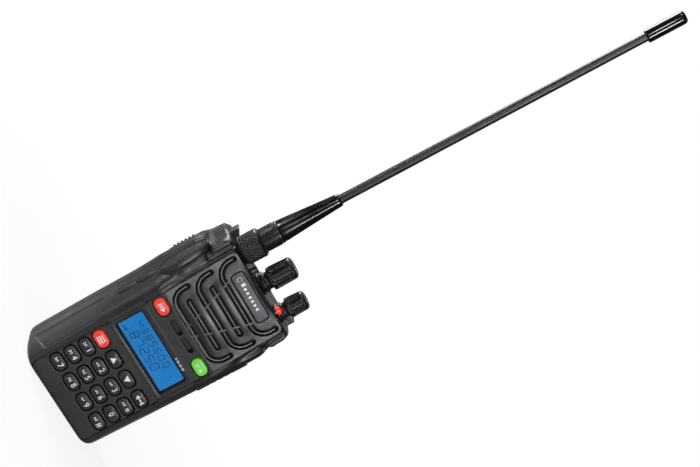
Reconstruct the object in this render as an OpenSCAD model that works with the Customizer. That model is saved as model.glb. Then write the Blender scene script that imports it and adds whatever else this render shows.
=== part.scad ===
// Handheld two-way radio with a long whip antenna. Millimetres.
// X is to the viewer's right, Y goes to the back and Z goes up. The origin is the middle of the base.

/* [Case] */
// width of the case
case_w = 58; // [57:0.5:60]
// depth from the front panel to the back
case_d = 32; // [32:0.5:36]
// height of the case without knobs
case_h = 104; // [103:1:108]
// height at which the front starts to lean back
bend_z = 68; // [67:0.5:69]
// lean of the upper front, degrees
lean = 8.7; // [7:0.1:10]
// wall thickness of the front case
wall = 2.4; // [2.2:0.1:2.6]
// depth of the front case, to the gasket
front_d = 21; // [20.5:0.5:22]
// radius of the front edges
front_r = 8.5; // [7:0.5:9]
// radius of the back edges
back_r = 6; // [5:0.5:7]
// how far the side bulges stand out
bulge = 1.2; // [1:0.1:1.4]

/* [Keys] */
// width of one key
key_w = 8.4; // [8:0.1:8.6]
// height of one key
key_h = 5.2; // [4.8:0.1:5.3]
// spacing of the key columns
key_px = 11; // [10.8:0.1:11.2]
// spacing of the key rows
key_pz = 7.2; // [7:0.1:7.4]
// height of the lowest key row
key_z = 12; // [11:0.5:12.5]
// how far a key stands out of the panel
key_out = 0.6; // [0.4:0.1:0.8]
// gap around a key
key_gap = 0.25; // [0.2:0.05:0.3]
// travel of a key
key_travel = 0.5; // [0.4:0.1:0.6]
// height of the red and green keys
call_z = 64; // [63.5:0.25:64.5]
// sideways position of the red and green keys
call_x = 16.5; // [16:0.25:17]

/* [Display] */
// width of the display opening
lcd_w = 37.5; // [36:0.5:38]
// height of the display opening
lcd_h = 12.6; // [12:0.2:13]
// height of the display's middle
lcd_z = 49; // [48:0.5:50]

/* [Speaker slots] */
// width of a slot
slot_w = 1.8; // [1.6:0.1:2]
// spacing of the slots up the slope
slot_p = 5.75; // [5.6:0.05:5.9]
// half width of the curved slots
slot_half = 19; // [18.5:0.25:19.25]
// half length of the straight slots
slot_straight = 13; // [12:0.5:13.5]

/* [Side buttons] */
// height of the talk button's middle
ptt_z = 82; // [81:0.5:83]
// length of the talk button
ptt_l = 23; // [22:0.5:24]
// width of the talk button
ptt_w = 8.6; // [8:0.2:9]
// travel of the talk button
ptt_travel = 0.8; // [0.6:0.1:1]

/* [Top controls] */
// distance of the top controls in front of the case's middle
top_y = 3; // [2.5:0.25:3.5]
// sideways position of the antenna
ant_x = 17.4; // [17:0.1:17.6]
// sideways position of the volume knob
vol_x = 16; // [15.5:0.25:16.5]
// diameter of the channel knob
chan_d = 11; // [10.5:0.5:11.5]
// diameter of the volume knob
vol_d = 9.6; // [9:0.2:10]
// height of the channel knob
chan_h = 12; // [11.6:0.2:13]
// height of the volume knob
vol_h = 9.2; // [9:0.2:10.4]

/* [Antenna] */
// diameter of the knurled collar
knurl_d = 13.6; // [13:0.2:14]
// height of the knurled collar
knurl_h = 10.5; // [10:0.5:11]
// diameter of the whip
whip_d = 4.2; // [4:0.1:4.4]
// height of the antenna's tip above the base
tip_z = 322; // [300:1:330]

/* [Battery] */
// height of the battery pack
pack_h = 70.6; // [70:0.2:70.8]

/* [Hidden] */
$fn = 48;
eps = 0.02;
margin = 1;
seat_gap = 0.05;
hole_gap = 0.1;
front_y = -case_d / 2;
back_y = case_d / 2;
split_y = front_y + front_d;
gasket_t = 0.6;
bay_t = 2;
bay_y = split_y + gasket_t + bay_t;
pack_gap = 0.2;
pack_y = bay_y + pack_gap;
pack_d = back_y - pack_y;
half_w = case_w / 2;
inner_x = half_w - wall;
top_front_y = front_y + (case_h - bend_z) * tan(lean);
slot_r = 6;
slot_first = 1.5;
slot_rise = 8.8;
tie_x0 = 2;
tie_x1 = 10.2;
tie_w = 1;
tie_h = 26;
ledge = 0.8;
key_r = 2.2;
flange_t = 0.8;
flange_w = 0.7;
flange_y = front_y + wall + 0.4;
flange_back = flange_y + flange_t;
dome_gap = 0.3;
dome_h = 0.6;
dome_y = flange_back + key_travel + dome_gap;
mat_y = dome_y + dome_h;
mat_t = 0.8;
mat_top = bend_z - 1;
dome_r = 1.8;
board_y = mat_y + mat_t + 0.1;
board_t = 1.2;
board_r = 1.5;
board_back = board_y + board_t;
board_w = 2 * inner_x - 5;
board_z = 4;
board_h = bend_z - board_z - 2;
lens_t = 1;
lcd_r = 1.5;
bezel_w = 1.5;
bezel_r = 2.5;
lens_grow = 2.2;
lens_y = front_y + wall;
panel_t = 1.2;
panel_grow = 1;
mic_z = bend_z - 3.5;
mic_x = 4.7;
mic_w = 7.8;
mic_h = 2.1;
mic_d = 6;
mic_t = 1.5;
mic_gap = 0.4;
mic_body_z = mic_z - 0.5;
top_wall = 2.6;
shaft_d = 3;
shaft_gap = 0.06;
bush_d = 7;
knob_z = case_h + 0.3;
knob_foot_in = 0.7;
knob_edge = 0.8;
collar_h = 5.2;
flutes = 16;
flute_d = 1.1;
flute_out = 0.15;
flute_up = 1.2;
pot_d = 9.4;
pot_h = 7;
pot_z = case_h - top_wall - pot_h - seat_gap;
pot_floor = 1;
shaft_foot = 1.3;
shaft_out = 9;
socket_d = 6.2;
socket_up = 4.5;
socket_flange = 9;
socket_flange_t = 2.6;
socket_bore = 4.6;
led_x = 12.8;
led_y = top_front_y + 2.1;
led_w = 4.4;
led_h = 2.4;
led_up = 3.4;
spk_d = 26;
spk_t = 5;
spk_t0 = 14;
spk_back = wall + 0.15;
magnet_t = 2;
cloth_t0 = 16.6;
cloth_h = 32.4;
cloth_side = 0.3;
cloth_r = 3;
fit_gap = 0.02;
cloth_t = 0.5;
plate_w = 24;
plate_h = 5.6;
plate_t = 30.8;
plate_thick = 0.6;
plate_r = 1.2;
side_y = -5;
ptt_y = -6.5;
bulge_z0 = 68.5;
bulge_z1 = 96;
bulge_y0 = -14;
bulge_y1 = 3.5;
bulge_chamfer = 4;
btn_z = [53, 63];
btn_l = 8;
btn_w = 3.6;
btn_out = 0.5;
btn_travel = 0.5;
ptt_out = 0.9;
ring_w = 1.2;
ring_out = 0.3;
btn_in = 0.4;
flange_side = 0.6;
switch_gap = 0.3;
ptt_switch = [3, 4, 6];
btn_switch = [2.6, 3, 4];
flange_in = 1.2;
ptt_base = 1.2;
inset_z0 = 6;
inset_z1 = 43;
inset_y = -6;
inset_w = 8;
inset_d = 0.7;
inset_r = 2;
jack_z = [62.5, 73.5];
jack_y = -5;
jack_r = [1.8, 1.3];
jack_pad = 2.4;
jack_wall = 1.8;
jack_floor = 1;
jack_neck = wall - 0.6;
jack_len = 10;
cover_z0 = 55.5;
cover_z1 = 82;
cover_y0 = -11;
cover_y1 = 1.6;
cover_t = 1.5;
cover_gap = 0.4;
cover_deep = 0.2;
cover_out = 0.6;
cover_r = 0.4;
hinge_room = 3.2;
cover_slot = [2, 1, 8];
cover_slot_y = 2.5;
cover_slot_p = 2.6;
cover_slot_z = 5;
cover_x = half_w + bulge - cover_t + cover_out;
hinge_r = 1;
hinge_y = cover_y1;
hinge_x = cover_x + cover_out;
hinge_pin_r = 0.45;
pin_wall = 0.6;
latch_z0 = 75;
latch_z1 = 88;
latch_w = 44;
latch_out = 2.6;
latch_in = 3;
latch_travel = 2.5;
latch_gap = 0.3;
frame_out = 1.6;
frame_in = 0.5;
frame_root = 4;
frame_lip = 1;
frame_ramp = 4;
frame_over = 3;
tongue_x = 12;
tongue_w = 6;
tongue_t = 1.6;
rib_n = 6;
rib_p = 2.1;
rib_t = 1;
rib_out = 0.7;
rib_z = 0.8;
clip_z = 96.5;
clip_x = 10;
clip_r = 1.05;
clip_len = 5;
screw_x = 22.5;
screw_z = [8, 64];
screw_d = 4;
screw_shank = 2;
head_t = 0.75;
boss_d = 8.6;
boss_l = 5;
boss_over = 2;
ear_r = 1.1;
ear_h = 1.4;
contact_x = 8;
contact_z = 14;
contact_w = 3;
cell_gap = 0.25;
pack_wall = 1.5;
pack_z = 0.4;
pack_floor = 2;
cell_w = 21.6;
cell_x = 0.8;
cell_z = 3;
cell_cut = 7;
cell_plate = 1.2;
plate_cut = 5;
hollow_d = 1.6;
hollow_z = 3;
gasket_in = 0.3;
edge_r = 1;
lug_x = 24;
lug_y = 7.5;
lug_t = 6;
lug_w = 8;
lug_h = 3.8;
lug_low = 1.6;
lug_post_d = 3;
lug_foot = 3;
mark_x = -8;
mark_y = -5.5;
mark_r = 1.5;
mark_in = 1.5;
mark_up = 3.2;
mark_slot = 0.5;
mark_slot_h = 0.6;
collar_foot = 0.3;
collar_foot_h = 0.9;
neck_d = 11;
neck_h = 8;
neck_cone = 1.2;
sleeve_d = 10.2;
sleeve_tip_d = 6;
sleeve_h = 30;
sleeve_z = case_h + knurl_h + 9.6;
whip_z = sleeve_z + 1.05;
cap_d = 6.1;
cap_tip_d = 4;
cap_h = 19;
cap_bore = 10.2;

// Frames: the flat front, the leaning front, the left side and the right side.
// In each one local X and Y lie on the face and local Z points out of it.
module on_front() {
  translate([0, front_y, 0])
    rotate([90, 0, 0])
      children();
}

module on_slope() {
  translate([0, front_y, bend_z])
    rotate([90 - lean, 0, 0])
      children();
}

module on_left(x) {
  translate([-x, 0, 0])
    rotate([90, 0, -90])
      children();
}

module on_right(x) {
  translate([x, 0, 0])
    rotate([90, 0, 90])
      children();
}

// A rectangle with round corners, about its middle.
module round_rect(w, h, r) {
  square([w - 2 * r, h], center = true);
  square([w, h - 2 * r], center = true);
  for (x = [-1, 1], y = [-1, 1])
    translate([x * (w / 2 - r), y * (h / 2 - r)])
      circle(r);
}

module stadium(w, h) {
  round_rect(w, h, min(w, h) / 2 - 0.01);
}

// Plan of the case, shrunk by g on every side.
module plan(g) {
  square([case_w - 2 * back_r, case_d - 2 * g], center = true);
  translate([0, (front_r - back_r) / 2])
    square([case_w - 2 * g, case_d - front_r - back_r], center = true);
  translate([0, front_y / 2])
    square([case_w - 2 * front_r, case_d / 2 - 2 * g], center = true);
  for (x = [-1, 1]) {
    translate([x * (half_w - front_r), front_y + front_r])
      circle(front_r - g);
    translate([x * (half_w - back_r), back_y - back_r])
      circle(back_r - g);
  }
}

// Side outline of the leaning case, shrunk by g at the front and the top.
module side_outline(g) {
  polygon([[front_y + g, g], [front_y + g, bend_z], [top_front_y + g - g * tan(lean), case_h - g],
    [back_y - g, case_h - g], [back_y - g, g]]);
}

module leaning_block(g) {
  intersection() {
    translate([0, 0, g])
      linear_extrude(case_h - 2 * g)
        plan(g);
    translate([-half_w, 0, 0])
      rotate([90, 0, 90])
        linear_extrude(case_w)
          side_outline(g);
  }
}

// A block over the whole width between two depths and two heights.
module slice(y0, y1, z0, z1) {
  translate([-case_w, y0, z0])
    cube([2 * case_w, y1 - y0, z1 - z0]);
}

// Side bulge outline, in depth and height.
module bulge_pad() {
  polygon([[bulge_y0, bulge_z0], [bulge_y1, bulge_z0], [bulge_y1, bulge_z1 - bulge_chamfer],
    [bulge_y1 - bulge_chamfer, bulge_z1], [bulge_y0 + bulge_chamfer, bulge_z1],
    [bulge_y0, bulge_z1 - bulge_chamfer]]);
}

module bulge_pads() {
  for (x = [-1, 1])
    translate([x > 0 ? half_w - wall : -half_w - bulge, 0, 0])
      rotate([90, 0, 90])
        linear_extrude(wall + bulge)
          bulge_pad();
}

// One curved speaker slot that runs along the slope's foot and turns up at both ends.
module curved_slot(t) {
  translate([0, t])
    square([2 * (slot_half - slot_r) + 2 * eps, slot_w], center = true);
  for (s = [-1, 1]) {
    translate([s * (slot_half - slot_r), t + slot_r])
      intersection() {
        difference() {
          circle(slot_r + slot_w / 2);
          circle(slot_r - slot_w / 2);
        }
        translate([s * (slot_r + slot_w) / 2, -(slot_r + slot_w) / 2])
          square(slot_r + slot_w, center = true);
      }
    translate([s * slot_half, t + (slot_r + slot_rise) / 2])
      square([slot_w, slot_rise - slot_r + 2 * eps], center = true);
    translate([s * slot_half, t + slot_rise])
      circle(slot_w / 2);
  }
}

module speaker_slots() {
  for (i = [0, 2, 4])
    curved_slot(slot_first + i * slot_p);
  for (i = [1, 3])
    translate([0, slot_first + i * slot_p])
      stadium(2 * slot_straight, slot_w);
}

// The two slanted ties that bridge the slots.
module slot_ties() {
  for (s = [-1, 1])
    polygon([[s * tie_x0, 0], [s * (tie_x0 + tie_w), 0], [s * (tie_x1 + tie_w), tie_h], [s * tie_x1, tie_h]]);
}

module key_grid() {
  for (c = [0:3], r = [0:3])
    translate([(c - 1.5) * key_px, key_z + r * key_pz])
      children();
}

module key_hole() {
  round_rect(key_w + 2 * key_gap, key_h + 2 * key_gap, key_r);
}

module top_hole(x, d) {
  translate([x, -top_y, case_h - 3 * top_wall])
    cylinder(d = d, h = 4 * top_wall);
}

module front_cuts() {
  on_front() {
    translate([0, 0, -2 * wall])
      linear_extrude(4 * wall) {
        key_grid()
          key_hole();
        for (s = [-1, 1]) {
          translate([s * call_x, call_z])
            key_hole();
          translate([s * mic_x, mic_z])
            stadium(mic_w, mic_h);
        }
        translate([0, lcd_z])
          round_rect(lcd_w, lcd_h, lcd_r);
      }
    translate([0, 0, -ledge])
      linear_extrude(2 * ledge)
        translate([0, lcd_z])
          round_rect(lcd_w + 2 * bezel_w, lcd_h + 2 * bezel_w, bezel_r);
  }
  on_slope() {
    translate([0, 0, -2 * wall])
      linear_extrude(4 * wall)
        difference() {
          speaker_slots();
          slot_ties();
        }
    translate([0, plate_t, -plate_thick])
      linear_extrude(2 * plate_thick)
        round_rect(plate_w + hole_gap, plate_h + hole_gap, plate_r);
  }
}

module left_cuts() {
  on_left(half_w + bulge) {
    translate([-ptt_y, ptt_z, -3 * wall])
      rotate(lean)
        linear_extrude(4 * wall)
          stadium(ptt_w + 2 * key_gap, ptt_l + 2 * key_gap);
    translate([-ptt_y, ptt_z, -ptt_base])
      rotate(lean)
        linear_extrude(2 * ptt_base)
          stadium(ptt_w + 2 * ring_w, ptt_l + 2 * ring_w);
  }
  on_left(half_w) {
    for (z = btn_z)
      translate([-side_y, z, -3 * wall])
        linear_extrude(6 * wall)
          stadium(btn_w + 2 * key_gap, btn_l + 2 * key_gap);
    translate([-inset_y, (inset_z0 + inset_z1) / 2, -inset_d])
      linear_extrude(2 * inset_d)
        round_rect(inset_w + hole_gap, inset_z1 - inset_z0 + hole_gap, inset_r);
  }
}

module right_cuts() {
  on_right(half_w + bulge)
    translate([(cover_y0 + cover_y1) / 2 + cover_out, (cover_z0 + cover_z1) / 2, -cover_t - cover_deep])
      linear_extrude(3 * cover_t)
        square([cover_y1 - cover_y0 + hinge_room, cover_z1 - cover_z0 + 2 * cover_gap], center = true);
  for (i = [0, 1])
    on_right(half_w)
      translate([jack_y, jack_z[i], -3 * wall])
        cylinder(r = jack_r[i] + jack_pad / 2 + fit_gap, h = 6 * wall);
}

module screw_bosses() {
  for (s = [-1, 1], z = screw_z)
    translate([s * screw_x, split_y + boss_over, z])
      rotate([90, 0, 0])
        cylinder(d = boss_d, h = boss_l + boss_over);
}

// Ears above and below the socket cover that hold its hinge pin.
module hinge_ears() {
  for (z = [cover_z0 - ear_h - cover_gap, cover_z1 + cover_gap])
    translate([half_w - wall, hinge_y - ear_r, z])
      cube([hinge_x - half_w + wall + pin_wall, 2 * ear_r, ear_h]);
}

module front_case() {
  color([0.12, 0.12, 0.13])
    difference() {
      union() {
        intersection() {
          union() {
            leaning_block(0);
            bulge_pads();
          }
          slice(front_y - margin, split_y, -margin, case_h + margin);
        }
        hinge_ears();
      }
      difference() {
        intersection() {
          leaning_block(wall);
          slice(front_y, split_y + margin, 0, case_h);
        }
        screw_bosses();
      }
      for (s = [-1, 1], z = screw_z)
        translate([s * screw_x, split_y + margin, z])
          rotate([90, 0, 0])
            cylinder(d = screw_shank + hole_gap, h = boss_l + gasket_t);
      front_cuts();
      left_cuts();
      right_cuts();
      translate([hinge_x, hinge_y, cover_z0 - 2 * ear_h])
        cylinder(r = hinge_pin_r + fit_gap / 2, h = cover_z1 - cover_z0 + 4 * ear_h);
      top_hole(-ant_x, socket_d + hole_gap);
      top_hole(0, bush_d + hole_gap);
      top_hole(vol_x, bush_d + hole_gap);
      translate([led_x, led_y, case_h - 2 * top_wall])
        linear_extrude(3 * top_wall)
          stadium(led_w + hole_gap, led_h + hole_gap);
      translate([mark_x, mark_y, case_h - mark_in])
        cylinder(r = mark_r + seat_gap, h = 2 * mark_in);
    }
}

module case_gasket() {
  color([0.05, 0.05, 0.05])
    translate([0, split_y + gasket_t, 0])
      rotate([90, 0, 0])
        linear_extrude(gasket_t)
          difference() {
            translate([0, case_h / 2])
              round_rect(case_w - 2 * gasket_in, case_h - 2 * gasket_in, edge_r);
            translate([0, case_h / 2])
              round_rect(2 * inner_x, case_h - 2 * wall, edge_r);
          }
}

module latch_outline(g) {
  translate([0, (latch_z0 + latch_z1 + latch_travel) / 2])
    square([latch_w + 2 * g, latch_z1 - latch_z0 + latch_travel + 2 * g], center = true);
}

module latch_frame() {
  for (s = [-1, 1])
    translate([s > 0 ? latch_w / 2 + latch_gap : -half_w + frame_in, 0, 0])
      rotate([90, 0, 90])
        linear_extrude(half_w - frame_in - latch_w / 2 - latch_gap)
          polygon([[back_y - frame_root, latch_z0 - frame_ramp], [back_y - frame_lip, latch_z0 - frame_ramp],
            [back_y + frame_out, latch_z0], [back_y + frame_out, latch_z1 + frame_over],
            [back_y - frame_lip, latch_z1 + frame_over + frame_ramp],
            [back_y - frame_root, latch_z1 + frame_over + frame_ramp]]);
}

module rear_chassis() {
  color([0.1, 0.1, 0.11])
    difference() {
      union() {
        intersection() {
          leaning_block(0);
          union() {
            slice(split_y + gasket_t, bay_y, 0, case_h);
            slice(split_y + gasket_t, back_y, pack_h + 2 * pack_gap, case_h);
          }
        }
        latch_frame();
      }
      intersection() {
        leaning_block(wall);
        slice(split_y, bay_y + hollow_d, pack_h + hollow_z, case_h - wall);
      }
      translate([0, back_y - latch_in - latch_gap, 0])
        rotate([-90, 0, 0])
          mirror([0, 1, 0])
            linear_extrude(3 * latch_in)
              latch_outline(latch_gap);
      for (s = [-1, 1])
        translate([s * tongue_x - tongue_w / 2 - latch_gap, back_y - latch_in - latch_gap, pack_h])
          cube([tongue_w + 2 * latch_gap, tongue_t + 2 * latch_gap, latch_z0 - pack_h]);
      for (s = [-1, 1]) {
        translate([s * clip_x, back_y + margin, clip_z])
          rotate([90, 0, 0])
            cylinder(r = clip_r, h = clip_len + margin);
        for (z = screw_z)
          translate([s * screw_x, bay_y + margin, z])
            rotate([90, 0, 0]) {
              cylinder(d = screw_shank + hole_gap, h = 4 * bay_t);
              cylinder(d = screw_d + hole_gap, h = margin + head_t + seat_gap);
            }
      }
      for (i = [-1:1])
        translate([i * contact_x, split_y, contact_z])
          rotate([-90, 0, 0])
            cylinder(d = contact_w + hole_gap, h = 4 * bay_t);
      for (s = [-1, 1])
        translate([s * lug_x, lug_y, case_h - lug_foot])
          cylinder(d = lug_post_d + seat_gap, h = 2 * lug_foot);
    }
}

module side_inset() {
  color([0.04, 0.04, 0.04])
    on_left(half_w)
      translate([-inset_y, (inset_z0 + inset_z1) / 2, -inset_d])
        linear_extrude(inset_d - hole_gap)
          round_rect(inset_w, inset_z1 - inset_z0, inset_r);
}

module ptt_frame() {
  color([0.05, 0.05, 0.05])
    on_left(half_w + bulge)
      translate([-ptt_y, ptt_z, -ptt_base])
        rotate(lean)
          linear_extrude(ptt_base + ring_out)
            difference() {
              stadium(ptt_w + 2 * ring_w - hole_gap, ptt_l + 2 * ring_w - hole_gap);
              stadium(ptt_w + 2 * key_gap, ptt_l + 2 * key_gap);
            }
}

module nameplate() {
  color([0.3, 0.3, 0.31])
    on_slope()
      translate([0, plate_t, -plate_thick])
        linear_extrude(plate_thick - hole_gap)
          round_rect(plate_w, plate_h, plate_r);
}

module display_lens() {
  color([0.6, 0.75, 0.85, 0.35])
    translate([0, lens_y + lens_t, lcd_z])
      rotate([90, 0, 0])
        linear_extrude(lens_t)
          round_rect(lcd_w + 2 * lens_grow, lcd_h + 2 * lens_grow, lcd_r);
}

module display_panel() {
  color([0.04, 0.45, 0.72])
    translate([0, lens_y + lens_t + panel_t, lcd_z])
      rotate([90, 0, 0])
        linear_extrude(panel_t)
          square([lcd_w + panel_grow, lcd_h + panel_grow], center = true);
}

module keypad_mat() {
  color([0.45, 0.45, 0.47]) {
    translate([0, mat_y + mat_t, 0])
      rotate([90, 0, 0])
        linear_extrude(mat_t)
          difference() {
            translate([0, (mat_top + board_z) / 2])
              square([board_w, mat_top - board_z], center = true);
            translate([0, mic_body_z])
              circle(d = mic_d + mic_gap);
          }
    translate([0, mat_y + eps, 0])
      rotate([90, 0, 0])
        linear_extrude(dome_h) {
          key_grid()
            circle(r = dome_r);
          for (s = [-1, 1])
            translate([s * call_x, call_z])
              circle(r = dome_r);
        }
  }
}

module main_board() {
  color([0.08, 0.3, 0.14])
    translate([0, board_back, board_z + board_h / 2])
      rotate([90, 0, 0])
        linear_extrude(board_t)
          round_rect(board_w, board_h, board_r);
}

module loudspeaker() {
  color([0.25, 0.25, 0.26])
    on_slope()
      translate([0, spk_t0, -spk_back - cloth_t - spk_t]) {
        cylinder(d = spk_d, h = spk_t);
        translate([0, 0, -magnet_t])
          cylinder(d = spk_d / 2, h = magnet_t + eps);
      }
}

module speaker_cloth() {
  color([0.02, 0.02, 0.02])
    on_slope()
      translate([0, cloth_t0, -wall - cloth_t - seat_gap])
        linear_extrude(cloth_t)
          round_rect(2 * slot_half + slot_w + 2 * cloth_side, cloth_h, cloth_r);
}

module microphone() {
  color([0.6, 0.6, 0.58])
    translate([0, mat_y + mat_t, mic_body_z])
      rotate([90, 0, 0])
        cylinder(d = mic_d, h = mic_t);
}

module status_light() {
  color([0.85, 0.06, 0.05])
    translate([led_x, led_y, case_h - top_wall])
      linear_extrude(top_wall + led_up)
        stadium(led_w, led_h);
}

module antenna_socket() {
  color([0.75, 0.6, 0.3])
    translate([-ant_x, -top_y, 0])
      difference() {
        union() {
          translate([0, 0, case_h - top_wall - socket_flange_t])
            cylinder(d = socket_flange, h = socket_flange_t - seat_gap);
          translate([0, 0, case_h - top_wall - socket_flange_t])
            cylinder(d = socket_d, h = top_wall + socket_flange_t + socket_up);
        }
        translate([0, 0, case_h - margin])
          cylinder(d = socket_bore, h = socket_up + 2 * margin);
      }
}

module control_body() {
  difference() {
    union() {
      translate([0, 0, pot_z])
        cylinder(d = pot_d, h = pot_h);
      translate([0, 0, pot_z + pot_h - eps])
        cylinder(d = bush_d, h = case_h - pot_z - pot_h);
    }
    translate([0, 0, pot_z + pot_floor])
      cylinder(d = shaft_d + 2 * shaft_gap, h = case_h);
  }
}

module channel_encoder() {
  color([0.62, 0.62, 0.6])
    translate([0, -top_y, 0])
      control_body();
}

module volume_control() {
  color([0.62, 0.62, 0.6])
    translate([vol_x, -top_y, 0])
      control_body();
}

module control_shaft() {
  translate([0, 0, pot_z + shaft_foot])
    cylinder(d = shaft_d, h = case_h + shaft_out - pot_z - shaft_foot);
}

module channel_shaft() {
  color([0.7, 0.7, 0.7])
    translate([0, -top_y, 0])
      control_shaft();
}

module volume_shaft() {
  color([0.7, 0.7, 0.7])
    translate([vol_x, -top_y, 0])
      control_shaft();
}

// A fluted knob on a smooth collar ring, bored for its shaft.
module knob(d, h) {
  difference() {
    union() {
      cylinder(d = d - 2 * knob_foot_in, h = collar_h + eps);
      translate([0, 0, collar_h])
        cylinder(d = d, h = h - knob_edge);
      translate([0, 0, collar_h + h - knob_edge - eps])
        cylinder(d1 = d, d2 = d - 2 * knob_edge, h = knob_edge + eps);
    }
    translate([0, 0, -margin])
      cylinder(d = shaft_d + fit_gap, h = shaft_out + margin);
    for (i = [0:flutes - 1])
      rotate(i * 360 / flutes)
        translate([d / 2 + flute_out, 0, collar_h + flute_up])
          cylinder(d = flute_d, h = h);
  }
}

module channel_knob() {
  color([0.03, 0.03, 0.03])
    translate([0, -top_y, knob_z])
      knob(chan_d, chan_h);
}

module volume_knob() {
  color([0.03, 0.03, 0.03])
    translate([vol_x, -top_y, knob_z])
      knob(vol_d, vol_h);
}

module top_screw() {
  color([0.1, 0.1, 0.1])
    translate([mark_x, mark_y, case_h - mark_in])
      difference() {
        cylinder(r = mark_r, h = mark_in + mark_up);
        translate([-2 * mark_r, -mark_slot / 2, mark_in + mark_up - mark_slot_h])
          cube([4 * mark_r, mark_slot, 2 * mark_slot_h]);
      }
}

module strap_lugs() {
  color([0.1, 0.1, 0.1])
    for (s = [-1, 1])
      translate([s * lug_x, lug_y, case_h - lug_foot]) {
        cylinder(d = lug_post_d, h = lug_foot + hole_gap);
        translate([0, lug_w / 2, lug_foot + hole_gap - eps])
          rotate([90, 0, 0])
            linear_extrude(lug_w)
              polygon([[-s * lug_t / 2, 0], [s * lug_t / 2, 0], [s * lug_t / 2, lug_h], [-s * lug_t / 2, lug_low]]);
      }
}

module talk_switch() {
  color([0.15, 0.15, 0.16])
    translate([-inner_x + flange_in + ptt_travel + switch_gap, ptt_y, ptt_z])
      translate([0, -ptt_switch[1] / 2, -ptt_switch[2] / 2])
        cube(ptt_switch);
}

module side_switches() {
  color([0.15, 0.15, 0.16])
    for (z = btn_z)
      translate([-inner_x + flange_in + btn_travel + switch_gap, side_y, z])
        translate([0, -btn_switch[1] / 2, -btn_switch[2] / 2])
          cube(btn_switch);
}

module jack(r) {
  rotate([0, 90, 0])
    difference() {
      union() {
        cylinder(r = r + jack_wall, h = jack_len);
        translate([0, 0, jack_len - eps])
          cylinder(r = r + jack_pad / 2, h = jack_neck);
      }
      translate([0, 0, jack_floor])
        cylinder(r = r, h = 2 * jack_len);
    }
}

module speaker_jack() {
  color([0.06, 0.06, 0.06])
    translate([inner_x - seat_gap - jack_len, jack_y, jack_z[0]])
      jack(jack_r[0]);
}

module microphone_jack() {
  color([0.06, 0.06, 0.06])
    translate([inner_x - seat_gap - jack_len, jack_y, jack_z[1]])
      jack(jack_r[1]);
}

module battery_contacts() {
  color([0.8, 0.65, 0.3])
    for (i = [-1:1])
      translate([i * contact_x, split_y + gasket_t, contact_z])
        rotate([-90, 0, 0])
          cylinder(d = contact_w, h = bay_t + pack_gap - seat_gap);
}

module case_screws() {
  color([0.6, 0.6, 0.62])
    for (s = [-1, 1], z = screw_z)
      translate([s * screw_x, bay_y - head_t, z])
        rotate([90, 0, 0]) {
          cylinder(d = screw_shank, h = boss_l);
          translate([0, 0, -head_t])
            cylinder(d = screw_d, h = head_t);
        }
}

module key_cap(x, z) {
  translate([x, 0, z]) {
    translate([0, flange_y + eps, 0])
      rotate([90, 0, 0])
        linear_extrude(flange_y - front_y + key_out)
          round_rect(key_w, key_h, key_r);
    translate([0, flange_back, 0])
      rotate([90, 0, 0])
        linear_extrude(flange_t)
          round_rect(key_w + 2 * flange_w, key_h + 2 * flange_w, key_r);
  }
}

// Keys count from the left and from the bottom.
module pad_key(c, r) {
  color([0.03, 0.03, 0.03])
    key_cap((c - 1.5) * key_px, key_z + r * key_pz);
}

module red_pad_key() {
  color([0.75, 0.05, 0.04])
    key_cap(-1.5 * key_px, key_z + 3 * key_pz);
}

module key_red() {
  color([0.85, 0.05, 0.04])
    key_cap(-call_x, call_z);
}

module key_green() {
  color([0.1, 0.75, 0.1])
    key_cap(call_x, call_z);
}

module talk_button() {
  color([0.07, 0.07, 0.07]) {
    on_left(inner_x - btn_in)
      translate([-ptt_y, ptt_z, 0])
        rotate(lean)
          linear_extrude(wall + bulge + btn_in + ptt_out)
            stadium(ptt_w, ptt_l);
    intersection() {
      on_left(inner_x - flange_in)
        translate([-ptt_y, ptt_z, 0])
          rotate(lean)
            linear_extrude(flange_in - btn_in + eps)
              stadium(ptt_w + 2 * flange_side, ptt_l + 2 * flange_side);
      linear_extrude(case_h)
        plan(wall + btn_in);
    }
  }
}

module side_button(z) {
  color([0.06, 0.06, 0.06]) {
    on_left(inner_x - btn_in)
      translate([-side_y, z, 0])
        linear_extrude(wall + btn_in + btn_out)
          stadium(btn_w, btn_l);
    on_left(inner_x - flange_in)
      translate([-side_y, z, 0])
        linear_extrude(flange_in - btn_in + eps)
          stadium(btn_w + 2 * flange_side, btn_l + 2 * flange_side);
  }
}

module antenna_collar() {
  color([0.04, 0.04, 0.04])
    translate([-ant_x, -top_y, case_h + collar_foot])
      difference() {
        union() {
          cylinder(d = knurl_d - neck_cone, h = collar_foot_h + eps);
          translate([0, 0, collar_foot_h])
            cylinder(d = knurl_d, h = knurl_h - knob_edge + eps);
          translate([0, 0, collar_foot_h + knurl_h - knob_edge])
            cylinder(d1 = knurl_d, d2 = neck_d, h = neck_cone);
          translate([0, 0, collar_foot_h + knurl_h - knob_edge + neck_cone - eps])
            cylinder(d = neck_d, h = neck_h + eps);
        }
        translate([0, 0, -margin])
          cylinder(d = socket_d + hole_gap, h = socket_up + margin + hole_gap);
      }
}

module antenna_sleeve() {
  color([0.03, 0.03, 0.03])
    translate([-ant_x, -top_y, sleeve_z])
      difference() {
        cylinder(d1 = sleeve_d, d2 = sleeve_tip_d, h = sleeve_h);
        translate([0, 0, margin])
          cylinder(d = whip_d + fit_gap, h = sleeve_h);
      }
}

module antenna_whip() {
  color([0.05, 0.05, 0.05])
    translate([-ant_x, -top_y, whip_z])
      cylinder(d = whip_d, h = tip_z - cap_h + cap_bore - whip_z - hole_gap);
}

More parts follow.
